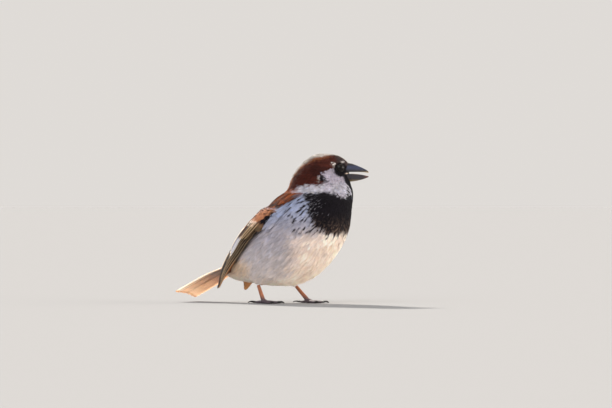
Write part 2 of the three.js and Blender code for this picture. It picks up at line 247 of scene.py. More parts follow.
# %% Edges and spots
BIB_EDGE_UP = [41.5, 42.8, 46, 49.2, 53.4, 58.8, 65]
BIB_EDGE_AHEAD = [21, 15.4, 12.5, 10.8, 9.4, 5.0, -2.8]
BIB_TOP_AHEAD = [-4, 5, 8, 13, 16.5, 20.3, 26]
BIB_TOP_UP = [65.0, 65.4, 66.0, 65.6, 64.8, 63.6, 62.4]
THROAT_UP, THROAT_AHEAD = [62, 65, 72, 76, 78], [22.6, 21.6, 20.0, 19.4, 19.4]
CHESTNUT_AHEAD = [-14, -10, -4, 1.6, 5.1, 7.3]
CHESTNUT_UP = [67.2, 68.2, 70.0, 70.7, 70.5, 71.0]
CHEEK_UP = [60, 70.4, 71.5, 72.7, 73.6, 74.8, 75.8, 76.8, 78.7, 79.6, 80.4]
CHEEK_BACK = [8.5, 8.0, 7.4, 6.6, 4.8, 3.6, 3.6, 5.2, 7.8, 9.6, 11.5]
CAP_UP, CAP_WIDTH = [72, 78, 84, 88], [2.2, 4.2, 5.8, 6.4]
MANTLE_UP = [50, 55.4, 59.2, 62.6, 65.6, 68]
MANTLE_AHEAD = [-26, -20.4, -14.7, -9, -3.5, 2]

# A spot has its colour, its strength, its middle ahead and up, its half width and half height, how soft its
# edge is, and how far out from the middle of the head it fades in.
EAR_SPOTS = [
    (WHITE, 0.5, (4.0, 74.1), (0.9, 1.9), 0.3, (4, 7)),
    (BLACK, 1.0, (6.0, 74.4), (1.9, 2.1), 0.2, (4, 7)),
    (BLACK, 0.8, (8.6, 72.6), (1.6, 0.8), 0.4, (4, 7)),
    (BLACK, 0.5, (11.6, 70.8), (1.4, 0.5), 0.4, (4, 7)),
]
PALE_SPOTS = [
    (WHITE, 1.0, (12.6, 83.2), (1.2, 0.9), 0.25, (3, 5)),
    (WHITE, 0.5, (13.0, 81.6), (0.4, 1.1), 0.25, (3, 5)),
    (WHITE, 0.6, (18.2, 84.3), (1.2, 0.6), 0.25, (2, 4)),
    (WARM_CREAM, 0.5, (22.8, 83.6), (1.5, 1.3), 0.25, (-2, -1)),
    (WARM_CREAM, 0.8, (21.6, 77.6), (1.8, 0.45), 0.4, (1, 2)),
    (WHITE, 0.8, (-15.4, 63.0), (1.2, 0.9), 0.25, (3, 5)),
]
MASK_AT_EYE = (17.0, 79.6), (4.0, 4.3), 0.12
MASK_AT_BILL = (21.5, 79.4), (4.0, 3.0), 0.15

# %% Lay one colour on another
def lay(colour, over, share):
    """`over` painted on `colour` by its share at each place."""
    return colour + (over - colour) * share[:, None]


def spot(ahead, up, at, radii, soft=0.25):
    """1 inside an ellipse seen from the side, fading over its edge."""
    distance = np.hypot((ahead - at[0]) / radii[0], (up - at[1]) / radii[1])
    return 1 - smooth(distance, 1 - soft, 1 + soft)


def lay_spots(colour, spots, ahead, up, out):
    """A row of spots painted on, each over the last."""
    for over, strength, at, radii, soft, (near, far) in spots:
        colour = lay(colour, over, strength * spot(ahead, up, at, radii, soft) * smooth(out, near, far))
    return colour


# %% Bib, mantle and stripes
def bib(points):
    """The share of the black bib and throat."""
    ahead, aside, up = place(points)
    wide = smooth(ahead - np.interp(up, BIB_EDGE_UP, BIB_EDGE_AHEAD), -0.8, 0.8)
    low = smooth(np.interp(ahead, BIB_TOP_AHEAD, BIB_TOP_UP) - up, -0.6, 0.6)
    front = wide * low * smooth(up, 41.2, 42.8)
    throat_width = np.interp(up, [64, 70, 76, 79], [6.4, 6.0, 5.4, 4.6])
    throat = (1 - smooth(abs(aside), throat_width - 0.6, throat_width + 0.6)) * smooth(ahead, 13, 15)
    throat = np.maximum(throat, smooth(ahead - np.interp(up, THROAT_UP, THROAT_AHEAD), -0.4, 0.4))
    throat = throat * smooth(up, 61, 63) * (1 - smooth(up, 77.6, 78.6))
    return np.maximum(front, throat)


def mantle(points):
    """The share of the brown back, between the wings."""
    ahead, _, up = place(points)
    edge = np.interp(up, MANTLE_UP, MANTLE_AHEAD)
    return smooth(edge - ahead, -1, 1) * smooth(up, 40, 44) * (1 - smooth(up, 68, 70))


def clumps(points, size, seed=0.0):
    """Soft noise from -1 to 1 with lumps of about this many millimetres."""
    scaled = points / MM / size + seed
    return np.array([noise.noise(Vector(p)) for p in scaled.tolist()])


def back_stripes(points):
    """The share of black in the stripes along the back, which end short of the nape."""
    along = (points[:, 0] + points[:, 2]) / 6
    stripes = clumps(np.stack([along, points[:, 1], along], 1), 1.3, 4.0)
    strength = 0.7 + 0.25 * smooth(abs(points[:, 1]) / MM, 3, 8)
    return strength * (1 - smooth(place(points)[2], 60, 64)) * smooth(stripes, -0.02, 0.2)


# %% Breast, belly, rump and back
def paint_body(points):
    """Grey breast and flanks, cream belly, buff beside the vent, grey rump and striped back; the warm cream
    low down is also painted glow.
    """
    x, y, z = points.T / MM
    colour = np.repeat(LILAC_GREY[None], len(points), 0)
    colour = lay(colour, BLUE_GREY, smooth(z, 42, 58))
    colour = lay(colour, CREAM, 0.5 * (1 - smooth(z, 16, 44)))
    colour = lay(colour, CREAM, (1 - smooth(abs(y), 7, 19)) * (1 - smooth(z, 44, 52)))
    # The belly and vent are really cream; the warm cream laid low on the front, the underside and beside the
    # tail is also painted glow, as of light shining through the feathers.
    colour = lay(colour, WARM_CREAM, (1 - smooth(abs(y), 3, 15)) * (1 - smooth(z, 12, 24)))
    colour = lay(colour, WARM_CREAM, 0.7 * smooth(x - 0.6 * abs(y), 8, 24) * (1 - smooth(z, 36, 46)))
    colour = lay(colour, WARM_CREAM, 0.8 * smooth(-x, 10, 18) * (1 - smooth(z, 20, 27)))
    beside_vent = smooth(-x, -2, 10) * (1 - smooth(abs(z - 21), 2, 6)) * smooth(abs(y), 6, 12)
    colour = lay(colour, VENT_BUFF, 0.8 * beside_vent)
    on_rump = smooth(-x - 0.9 * z, -40, -30) * smooth(z, 21, 25) * (1 - smooth(abs(y), 8, 12))
    colour = lay(colour, RUMP_GREY, on_rump)
    colour = lay(colour, MANTLE, mantle(points))
    return lay(colour, DARK_STREAK, mantle(points) * back_stripes(points))


# %% Crown and nape
def paint_crown(colour, points, crown, nape):
    """Chestnut where the crown and the nape are, laid as dark as in shade and mottled darker, with a grey
    middle painted pale as in sunlight, rimmed in painted sunlit orange that also lies on the low nape.
    """
    ahead, aside, up = place(points)
    out = abs(aside)
    # Painted shade: the real chestnut is laid on as dark as it looks on the shaded side.
    colour = lay(colour, CHESTNUT_IN_SHADE, np.maximum(crown, nape))
    colour = lay(colour, DARK_CHESTNUT, 0.6 * spot(ahead, up, (5, 78.5), (6, 3.4)) * smooth(out, 4, 7))
    mottled = crown * smooth(clumps(points * [1, 1, 1.6], 1.6, 3.0), 0.05, 0.3)
    colour = lay(colour, DARK_CHESTNUT, 0.55 * mottled)
    cap_width = np.interp(up, CAP_UP, CAP_WIDTH)
    cap_width = cap_width * (1 - 0.78 * smooth(ahead, 5, 18))
    on_top = smooth(up, 72, 75) * (1 - smooth(ahead, 20, 22.5))
    colour = lay(colour, FOREHEAD, smooth(ahead, 12, 16.5) * smooth(up, 80.8, 82.8))
    # Painted sunlight: an orange rim round the grey cap and an orange patch on the low nape, where light from
    # behind falls on the chestnut.
    sunlit_rim = on_top * (1 - smooth(ahead, 8, 12)) * (1 - smooth(out - cap_width, 1.0, 3.0))
    sunlit_nape = smooth(up, 66, 68) * smooth(-ahead, 3, 8) * (1 - smooth(out, 2.0, 5.5))
    colour = lay(colour, SUNLIT_CHESTNUT, np.maximum(0.6 * sunlit_rim, 0.9 * sunlit_nape))
    # The grey cap is real, but painted paler, as it looks lit from behind.
    return lay(colour, SUNLIT_CROWN_GREY, on_top * (1 - smooth(out - cap_width, -0.7, 0.7)))


# %% All the markings
def markings(points):
    """The plumage's colour at each point."""
    ahead, aside, up = place(points)
    out = abs(aside)
    band = smooth(up, 64.6, 66) * (1 - smooth(up, 70.5, 72)) * smooth(ahead, -12, -5)
    crown = smooth(up - np.interp(ahead, CHESTNUT_AHEAD, CHESTNUT_UP), -0.6, 0.6)
    nape = smooth(up, 66.6, 68) * smooth(-ahead, 6, 9)
    cheek = smooth(ahead - np.interp(up, CHEEK_UP, CHEEK_BACK), -0.3, 0.3) * (1 - smooth(up, 80, 80.6))
    cheek = cheek * smooth(up, 62, 63.5) * smooth(out, 3, 5)
    colour = lay(paint_body(points), NECK_BAND, band)
    colour = paint_crown(colour, points, crown, nape)
    colour = lay(colour, CHEEK, cheek)
    colour = lay(colour, NECK_BAND, 0.7 * cheek * spot(ahead, up, (16, 68), (6, 4), 0.6))
    pale = np.maximum(band * (1 - np.maximum(crown, nape)), cheek)
    specks = smooth(clumps(points, 0.8, 5.0), 0.0, 0.4)
    colour = lay(colour, DARK_STREAK, 0.34 * pale * specks)
    colour = lay_spots(colour, EAR_SPOTS, ahead, up, out)
    mask = np.maximum(spot(ahead, up, *MASK_AT_EYE), spot(ahead, up, *MASK_AT_BILL))
    colour = lay(colour, BLACK, mask)
    colour = lay(colour, BLACK, bib(points))
    return lay_spots(colour, PALE_SPOTS, ahead, up, out)


def set_colours(piece, colours, name="Plumage"):
    """Stores a colour for each corner of a piece's mesh."""
    attribute = piece.data.color_attributes.new(name, "FLOAT_COLOR", "POINT")
    values = np.ones((len(piece.data.vertices), 4), np.float32)
    values[:, :3] = colours
    attribute.data.foreach_set("color", values.ravel())


# %% [markdown]
# ## The skin
# Under the feathers a bird is much thinner than it looks, but only the surface that the feathers grow from
# has to be there. The body's solids are copied, swollen a little so that they run into each other, and
# remeshed into one seamless surface, with a ball that closes the hollow behind each eye. The surface is
# then drawn in by the depth of the coat, which is thin on the face and deep on the body.

# %% One skin from the solids of flesh
FLESH = ["head", "neck", "trunk", "rump", "cuff_right", "cuff_left"]
SWELL = 0.25
SKIN_VOXEL = 0.7
skin = twin("skin", *FLESH)
in_edit(skin, bpy.ops.transform.shrink_fatten, value=SWELL * MM)

PLUG_RADIUS, PLUG_DEPTH = 4.5, 3.1
plugs = []
for side, sign in SIDES.items():
    inside = eye_middle[side] - head_left * sign * PLUG_DEPTH * MM
    bpy.ops.mesh.primitive_uv_sphere_add(segments=24, ring_count=16, radius=PLUG_RADIUS * MM, location=inside)
    settle(bpy.context.object)
    plugs.append(bpy.context.object)
skin = join("skin", [*plugs, skin])
apply(skin, "REMESH", mode="VOXEL", voxel_size=SKIN_VOXEL * MM)
apply(skin, "SMOOTH", factor=0.5, iterations=8)

# %% How deep the coat is
DEPTH_FROM_BILL = [0, 4, 10, 20, 32, 46], [0.3, 0.4, 0.65, 1.0, 1.6, 2.1]
LEG_FEATHERS = [middle(f"cuff_{side}") for side in SIDES]


def from_cuffs(points):
    """Millimetres from the nearer of the two cuffs of leg feathers."""
    return np.min([np.linalg.norm(points - np.array(c), axis=1) for c in LEG_FEATHERS], 0) / MM


def coat_depth(points):
    """How deep the coat is, in millimetres: thin on the face, round the legs and before the tail."""
    depth = np.interp(from_bill(points), *DEPTH_FROM_BILL)
    by_legs = 0.5 + 2 * smooth(from_cuffs(points), 1, 8)
    by_tail = 2.1 - 1.1 * smooth(-points[:, 0] / MM, 14, 28)
    return np.minimum(np.minimum(depth, by_legs), by_tail)


# %% Draw the skin in
outline = corners(skin)
depth = coat_depth(outline) + SWELL
move_corners(skin, outline - outward(skin) * depth[:, None] * MM)
apply(skin, "SMOOTH", factor=0.5, iterations=3)
# The skin takes the markings at seven tenths: partly the darker down, partly painted shade under the coat.
set_colours(skin, markings(corners(skin)) * 0.7)
bpy.ops.object.shade_smooth()
print("the coat is", round(depth.min(), 2), "to", round(depth.max(), 2), "mm deep")

# %% [markdown]
# ## The lie of the feathers
# Every feather points away from the bill: back over the crown, down the throat, then down and back along
# the body to the tail. Round the eye they part, so that none lies over it, and the long white whiskers at
# the cheek's lower edge hang down and ahead. The direction is first written as a simple field in space, and
# is then laid flat on the skin wherever a feather stands.

# %% The field of directions
def unit(vectors):
    """The same directions, each one unit long."""
    return vectors / np.maximum(np.linalg.norm(vectors, axis=-1, keepdims=True), 1e-9)


face_middle = np.array(between_eyes + head_ahead * 5.8 * MM + Vector((0, 0, -2.2 * MM)))
HEAD_BACK = np.array([-head_ahead.x, -head_ahead.y, -0.42])
BODY_BACK = np.array([-0.75, 0, -0.66])
TAIL_BACK = np.array([-0.9, 0, -0.4])
LEG_DOWN = np.array([0.35, 0, -0.9])
WHISKER_DOWN = np.array([0.9 * head_ahead.x, 0.9 * head_ahead.y, -1.0])


def eye_axis(sign):
    """The way an eye looks: out to its side and a little ahead."""
    return np.array((head_left * sign + head_ahead * 0.25).normalized())


def whiskers(points):
    """The share of the cheek's long white whiskers, which hang over the bib."""
    ahead, aside, up = place(points)
    low, front = spot(ahead, up, (18.4, 67.0), (4.2, 2.6), 0.5), spot(ahead, up, (19.5, 69), (2.6, 5.0), 0.4)
    return np.maximum(low, front) * smooth(abs(aside), 4, 6)


def lie(points, normals):
    """The way the feathers point, flat on the surface, at each point."""
    up = points[:, 2] / MM
    head = smooth(up, 56, 72)[:, None]
    tail = smooth(-points[:, 0] / MM, 12, 30)[:, None]
    way = HEAD_BACK * head + BODY_BACK * (1 - head)
    way = way * (1 - tail) + TAIL_BACK * tail
    leg = (1 - smooth(from_cuffs(points), 2, 5))[:, None]
    way = way * (1 - leg) + LEG_DOWN * leg
    away = unit(points - face_middle)
    face = (1 - smooth(from_bill(points), 5, 13))[:, None]
    way = unit(way) * (1 - face) + away * face
    for side, sign in SIDES.items():
        axis = eye_axis(sign)
        spoke = points - np.array(eye_middle[side])
        near = 1 - smooth(np.linalg.norm(spoke, axis=1) / MM, 3.0, 6.5)
        spoke = spoke - axis * (spoke @ axis)[:, None]
        way = way + unit(spoke) * near[:, None] * 0.9
    hang = whiskers(points)[:, None]
    way = way * (1 - hang) + WHISKER_DOWN * hang
    way = way - normals * np.sum(way * normals, 1, keepdims=True)
    return unit(way)


# %% [markdown]
# ## Where the feathers stand
# Real feathers are evenly spread, never in clumps. Points are thrown on the skin at random and each is kept
# only if no earlier one stands too near. The spacing follows the feathers' length, which grows from one
# millimetre at the bill to more than eight on the flanks.

# %% How long the feathers are
LENGTH_FROM_BILL = [0, 3, 8, 14, 22, 32, 45], [1.1, 1.3, 1.9, 2.8, 4.0, 6.0, 8.5]
CUFF_FEATHER = 2.2


def feather_length(points):
    """The length of the feathers at each point, in millimetres."""
    length = np.interp(from_bill(points), *LENGTH_FROM_BILL)
    away_from_leg = smooth(from_cuffs(points), 2, 9)
    return length * away_from_leg + CUFF_FEATHER * (1 - away_from_leg)


# %% Scatter points evenly
def scatter(piece, spacing, throws):
    """Even random points on a piece, with the outward direction at each."""
    mesh = piece.data
    mesh.calc_loop_triangles()
    index = np.zeros(len(mesh.loop_triangles) * 3, np.int64)
    mesh.loop_triangles.foreach_get("vertices", index)
    places, directions = corners(piece), outward(piece)
    tri = index.reshape(-1, 3)
    a, b, c = places[tri[:, 0]], places[tri[:, 1]], places[tri[:, 2]]
    area = np.linalg.norm(np.cross(b - a, c - a), axis=1)
    weight = area / spacing((a + b + c) / 3) ** 2
    chosen = dice.choice(len(tri), throws, p=weight / weight.sum())
    share = dice.random((throws, 2))
    share = np.where(share.sum(1, keepdims=True) > 1, 1 - share, share)
    third = 1 - share.sum(1)
    first, second, last = tri[chosen].T

    def mix(values):
        return values[first] * third[:, None] + values[second] * share[:, :1] + values[last] * share[:, 1:]

    points, normals = mix(places), unit(mix(directions))
    kept = thin_out(points / MM, spacing(points))
    return points[kept], normals[kept]


# %% Keep points apart
def thin_out(points, reach):
    """The numbers of the points that no earlier point stands nearer to than its own reach."""
    cell = reach.max()
    grid, kept = {}, []
    keys = np.floor(points / cell).astype(int).tolist()
    places, limits = points.tolist(), (reach**2).tolist()
    steps = [(i, j, k) for i in (-1, 0, 1) for j in (-1, 0, 1) for k in (-1, 0, 1)]
    for n, (x, y, z) in enumerate(places):
        i, j, k = keys[n]
        limit = limits[n]
        near = (
            (x - p) ** 2 + (y - q) ** 2 + (z - r) ** 2 < limit
            for di, dj, dk in steps
            for p, q, r in grid.get((i + di, j + dj, k + dk), ())
        )
        if not any(near):
            grid.setdefault((i, j, k), []).append((x, y, z))
            kept.append(n)
    return np.array(kept)


# %% Scatter the feathers' roots
def spacing(points):
    """How far apart the feathers stand at each point, in millimetres."""
    return 0.2 + 0.068 * feather_length(points)


THROWS = 90000
roots, root_normals = scatter(skin, spacing, THROWS)
print(len(roots), "feathers stand on the skin")

# %% [markdown]
# ## One tuft
# A small feather is a soft fan: its barbs share a root, spread to the sides and thin out to points. Each
# barb is a ribbon of three or five triangles. The fan follows the skin from its root, rises through the
# coat to its tip, and is bowed across like a roof tile. All the tufts of one tract are built together as
# one mesh from arrays, because thousands of objects would be slow. Each tuft also gets its own small patch
# on the map that the finish is baked to, at its root's place on an unwrap of the skin: along the body, and
# round it.

# %% The unwrap of the skin
SPINE = np.array([
    [36.5, 4, 90], [36, 3.2, 79], [34, 2, 67], [29.6, 0, 56],
    [20.5, 0, 40], [7.2, 0, 24.4], [-9.8, 0, 18], [-34, 0, 17],
])
SPINE_STEP = 0.9
spine_steps = np.linspace(0, len(SPINE) - 1, 141)
spine_line = np.stack([np.interp(spine_steps, range(len(SPINE)), SPINE[:, k]) for k in range(3)], 1)
spine_ways = unit(np.gradient(spine_line, axis=0))


def unwrap(points):
    """Along the body and round it, both from 0 to 1."""
    found = np.zeros(len(points), int)
    for start in range(0, len(points), 4000):
        part = points[start : start + 4000] / MM
        found[start : start + 4000] = np.argmin(((part[:, None] - spine_line[None]) ** 2).sum(2), 1)
    spoke = points / MM - spine_line[found]
    way = spine_ways[found]
    left = np.array([0.0, 1.0, 0.0])
    front = unit(np.cross(left[None], way))
    round_it = np.arctan2(spoke[:, 1], np.sum(spoke * front, 1)) / (2 * math.pi) + 0.5
    nearness = found + np.sum(spoke * way, 1) / SPINE_STEP
    along = np.clip(nearness / (len(spine_line) - 1), 0, 1)
    return np.stack([0.01 + 0.98 * round_it, 0.01 + 0.98 * along], 1)


# %% Build a mesh from arrays
def mesh_from(name, places, faces):
    """A piece from its corners and its triangles."""
    mesh = bpy.data.meshes.new(name)
    mesh.vertices.add(len(places))
    mesh.vertices.foreach_set("co", np.ascontiguousarray(places, np.float32).ravel())
    mesh.loops.add(faces.size)
    mesh.loops.foreach_set("vertex_index", np.ascontiguousarray(faces, np.int32).ravel())
    mesh.polygons.add(len(faces))
    mesh.polygons.foreach_set("loop_start", np.arange(0, faces.size, 3, dtype=np.int32))
    mesh.polygons.foreach_set("use_smooth", np.ones(len(faces), bool))
    mesh.update(calc_edges=True)
    piece = bpy.data.objects.new(name, mesh)
    bpy.context.scene.collection.objects.link(piece)
    return piece


def set_map(piece, name, values, faces):
    """Stores a place on a flat map for each corner of each face."""
    layer = piece.data.uv_layers.new(name=name)
    layer.data.foreach_set("uv", np.ascontiguousarray(values[faces.ravel()], np.float32).ravel())


# %% March along the skin
STEPS = 3


def march(tree, points, normals, length, toward=None):
    """Each feather's line along a surface: points and outward directions at STEPS + 1 places."""
    line, ways = [points], [normals]
    here, facing = points, normals
    swirl = (0.22 * clumps(points, 5, 3.0) + dice.normal(0, 0.09, len(points)))[:, None]
    for _ in range(STEPS):
        way = lie(here, facing) if toward is None else unit(toward - facing * (facing @ toward)[:, None])
        way = unit(way + np.cross(facing, way) * swirl)
        ahead = here + way * (length * MM / STEPS)[:, None]
        found = [tree.find_nearest(p)[:2] for p in ahead.tolist()]
        here = np.array([p for p, _ in found])
        fresh = np.array([n for _, n in found])
        facing = unit(facing + fresh)
        line.append(here)
        ways.append(facing)
    return np.stack(line, 1), np.stack(ways, 1)


def along_line(line, at):
    """A value at places from 0 to 1 along each feather's line."""
    steps = np.clip(at, 0, 1) * STEPS
    i = np.minimum(steps.astype(int), STEPS - 1)
    t = (steps - i)[..., None]
    rows = np.arange(len(line)).reshape(-1, *([1] * (at.ndim - 1)))
    return line[rows, i] * (1 - t) + line[rows, i + 1] * t


# %% The tufts of one tract
PATCH = 0.003
UNEVEN_LIFT, ROOT_RISE, ROOF_BOW = 0.18, 0.12, 0.14
OUTER_SHORTER, BARB_STRAY, BARB_ROLL, BARB_WIDTH = 0.42, 0.35, 0.35, 0.62

# By the number of rows in a barb: places along it, its width there, and how far its tuft has opened.
BARB_FORMS = {
    2: ([0, 0.6, 1], [0.7, 1.0, 0], [0.3, 0.95, 1.02]),
    3: ([0, 0.5, 0.82, 1], [0.6, 1.0, 0.62, 0], [0.25, 0.85, 1.0, 1.02]),
}


def tufts(name, line, ways, width, lift, look, blades=9, rows=3, point=2.4, rough=0.2):
    """One coat piece. `look` gives each barb's colour from its place along and across its tuft."""
    points = line[:, 0]
    count = len(points)
    lift = lift * (1 - UNEVEN_LIFT * dice.random(count))
    # The barbs stand side by side, a little out of place, and the outer ones are shorter.
    cross = (np.arange(blades) + 0.5) / blades * 2 - 1
    across = np.repeat(cross[None], count, 0) + dice.normal(0, BARB_STRAY / blades, (count, blades))
    reach = (1 - OUTER_SHORTER * np.abs(across) ** point) * (1 - rough * dice.random((count, blades)))
    barb = width[:, None] / blades * BARB_WIDTH
    roll = dice.normal(0, BARB_ROLL, (count, blades))
    places, tones, marks, patches = [], [], [], []
    patch = unwrap(points)
    for step, size, open_by in zip(*BARB_FORMS[rows]):
        at = step * reach
        shaft, up = along_line(line, at), unit(along_line(ways, at))
        way = unit(along_line(line, np.minimum(at + 0.05, 1)) - along_line(line, np.maximum(at - 0.05, 0)))
        side = np.cross(up, way)
        rise = ROOT_RISE + (1 - ROOT_RISE) * at**0.9
        height = lift[:, None] * rise - ROOF_BOW * width[:, None] * across**2 * open_by
        base = shaft + side * (across * width[:, None] / 2 * open_by * MM)[..., None]
        base = base + up * (height * MM)[..., None]
        for edge in (-1, 1) if size else (0,):
            shift = (barb * size * edge * MM)[..., None]
            places.append(base + (side * shift + up * (shift * roll[..., None])))
            tones.append(look(at, across))
            marks.append(np.stack([across * 0.5 + 0.5, at], -1))
            patches.append(patch[:, None] + np.stack([across * 0.5, at - 0.5], -1) * PATCH)
    per = len(places)

    def stack(values):
        return np.stack(values, 2).reshape(count * blades * per, -1)

    faces = []
    for row in range(rows - 1):
        a = 2 * row
        faces += [[a, a + 1, a + 3], [a, a + 3, a + 2]]
    faces.append([per - 3, per - 2, per - 1])
    start = np.arange(count * blades)[:, None, None] * per
    faces = (start + np.array(faces)[None]).reshape(-1, 3)
    piece = mesh_from(name, stack(places), faces)
    set_colours(piece, stack(tones))
    set_map(piece, "OFBake", stack(patches), faces)
    set_map(piece, "Barbs", stack(marks), faces)
    return piece


# %% [markdown]
# ## Colour on a feather
# A feather is paler at its tip than at its downy root: the grey down is real, and the dark root is also
# painted shade deep in the coat. Some carry a pattern of their own: a dark streak along the shaft, a buff
# tip, a few pale barbs. `plain_look` gives a tuft the markings' colour at the place where it shows, with a
# little chance in it, and adds each pattern by the share that its tract works out.

# %% Looks for tufts
TIP_LIGHTER = 0.1


def fleck_barbs(share, blades):
    """Which barbs of each tuft are pale, by the share of them that may be."""
    order = np.random.default_rng(5).random((len(share), blades))
    return (order < share[:, None]).astype(float)


def plain_look(line, colours=None, vary=0.1, cloud=0.22, root=0.7, streak=None, tip=None, fleck=None):
    """Colours for tufts on these lines: the markings where each is seen, with these shares of patterns."""
    hang = (whiskers(line[:, 0]) * (dice.random(len(line)) < 0.3))[:, None]
    seen = line[:, 2] * (1 - hang) + line[:, 0] * hang
    size = np.linalg.norm(line[:, -1] - line[:, 0], axis=1, keepdims=True) * (1 + hang)
    base = markings(seen + dice.normal(0, 0.11, seen.shape) * size) if colours is None else colours
    under = markings(line[:, 0]) if colours is None else colours
    shade = 1 + dice.normal(0, vary, len(seen)) + cloud * clumps(seen, 3.2, 7.0) + 0.1 * clumps(seen, 9, 1.0)
    warm = dice.normal(0, 0.03, (len(seen), 1)) * np.array([1, 0.2, -1])
    base, under = (np.clip(c * shade[:, None] * (1 + warm), 0, 1) for c in (base, under))

    def look(at, across):
        own = smooth(at, 0.2, 0.5)[..., None]
        tone = under[:, None] * (1 - own) + base[:, None] * own
        # Darker toward the root: partly the real grey down, partly painted shade deep in the coat.
        tone = tone * (root + (1 - root + TIP_LIGHTER) * smooth(at, 0.05, 0.95))[..., None]
        tone = tone * (1 + dice.normal(0, 0.07, at.shape))[..., None]
        if streak is not None:
            share = streak[:, None] * (1 - smooth(np.abs(across), 0.3, 0.6)) * smooth(at, 0.15, 0.3)
            tone = tone + (DARK_STREAK - tone) * share[..., None]
        if fleck is not None:
            share = fleck_barbs(fleck, at.shape[1]) * smooth(at, 0.3, 0.7)
            tone = tone + (NECK_BAND * 0.6 - tone) * share[..., None]
        if tip is not None:
            share = tip[:, None] * smooth(at, 0.72, 0.86)
            tone = tone + (FRINGE - tone) * share[..., None]
        return np.clip(tone, 0, 1)

    return look


# %% [markdown]
# ## The shape of a folded wing
# A folded wing is a curved sheet. Its lower edge runs from the shoulder to the wing tip and its upper edge
# lies along the back. `wing_frame` gives any point of the sheet by its place along and across, and
# `wing_place` does the reverse: it finds where over the wing a point of the coat lies.

# %% The sheet of a wing
# The edges' points were set with the neck's axis this far ahead, so they move with the neck.
LISTS_NECK_X = 25.4
WING_LOWER = np.array([
    [15.0, 21.2, 56.5], [8.4, 22.2, 49.0], [1.8, 21.8, 42.2], [-5.2, 20.8, 35.0],
    [-11.5, 18.8, 28.0], [-18.0, 16.6, 22.0], [-25.4, 14.8, 15.2], [-31.8, 13.2, 8.4],
])
WING_UPPER = np.array([
    [3.6, 13.4, 58.4], [-4.8, 10.4, 52.8], [-13.0, 8.6, 45.4], [-19.8, 6.8, 38.6],
    [-25.0, 6.2, 31.8], [-28.8, 6.8, 26.4], [-31.4, 10.0, 17.6], [-32.4, 12.6, 9.2],
])
LEFT_TIP_SPREAD = np.array([3.6, 0, -1.6])
WING_BULGE = 3.4
lists_shift = np.array([neck_x - LISTS_NECK_X, 0, 0])
left_slip = smooth(np.arange(len(WING_LOWER), dtype=float), 4, 7)[:, None]
wing_edges = {
    -1: (WING_LOWER * [1, -1, 1], WING_UPPER * [1, -1, 1]),
    1: (WING_LOWER + LEFT_TIP_SPREAD * left_slip, WING_UPPER),
}


# %% Places on a wing's sheet
def curve(points, at):
    """A smooth curve through points, at places from 0 to 1."""
    s = np.clip(at, 0, 1) * (len(points) - 1)
    i = np.minimum(s.astype(int), len(points) - 2)
    t = (s - i)[:, None]
    a, b, c, d = (points[np.clip(i + k, 0, len(points) - 1)] for k in (-1, 0, 1, 2))
    return b + 0.5 * t * (c - a + t * (2 * a - 5 * b + 4 * c - d + t * (3 * (b - c) + d - a)))


def wing_frame(sign, at, over):
    """Points on a wing's middle sheet with the outward direction there, in metres."""
    lower, upper = wing_edges[sign]
    low, high = curve(lower, at), curve(upper, at)
    onward = curve(lower, at + 0.01) - curve(lower, at - 0.01)
    chord = high - low
    out = unit(np.cross(onward, chord) * sign)
    size = np.linalg.norm(chord, axis=1)
    bulge = WING_BULGE * (size / 20) ** 1.5 * (1 - (2 * over - 1) ** 2)
    points = low + chord * over[:, None] + out * bulge[:, None]
    return (points + lists_shift) * MM, out


# %% Find where over a wing a point lies
grid_at, grid_over = np.meshgrid(np.linspace(0, 1, 61), np.linspace(0, 1, 25), indexing="ij")
wing_grid = np.stack([grid_at, grid_over], -1).reshape(-1, 2)
wing_finders = {}
for sign in SIDES.values():
    wing_finders[sign] = KDTree(len(wing_grid))
    for n, p in enumerate(wing_frame(sign, *wing_grid.T)[0].tolist()):
        wing_finders[sign].insert(p, n)
    wing_finders[sign].balance()


def wing_place(points):
    """Each point's place along and across the nearer wing, and its distance from it in millimetres."""
    found = [wing_finders[-1 if p[1] < 0 else 1].find(p)[1:] for p in points.tolist()]
    number = np.array([n for n, _ in found])
    return *wing_grid[number].T, np.array([d for _, d in found]) / MM


# %% [markdown]
# ## A bed for the back and shoulders
# The feathers of the back and the shoulder lie over the body and the wing alike. For them the trunk, the
# neck and the wings' coverts are joined and remeshed into one smooth bed, just below the outline. The bed
# itself isn't kept: it only guides these feathers.

# %% Make the bed
bed = twin("bed", "neck", "trunk", "rump", "wing_right_coverts", "wing_left_coverts")
in_edit(bed, bpy.ops.transform.shrink_fatten, value=0.3 * MM)
apply(bed, "REMESH", mode="VOXEL", voxel_size=0.8 * MM)
apply(bed, "SMOOTH", factor=0.5, iterations=14)
BED_DEPTH = 0.9
move_corners(bed, corners(bed) - outward(bed) * BED_DEPTH * MM)


def tree_of(piece):
    """A search tree that finds the nearest place on a piece's surface."""
    mesh = piece.data
    return BVHTree.FromPolygons([v.co for v in mesh.vertices], [p.vertices for p in mesh.polygons])


bed_tree = tree_of(bed)
bed_roots, bed_normals = scatter(bed, spacing, THROWS)
bed_at, bed_over, bed_gap = wing_place(bed_roots)
only(bed)
bpy.ops.object.delete()
print(len(bed_roots), "places for feathers on the bed")

# %% [markdown]
# ## Room for the eyes and the wings
# No feather may lie over an eye or stand hidden under a wing. Each feather that points at an eye is cut
# short of it, and those that a wing would cover are left out.

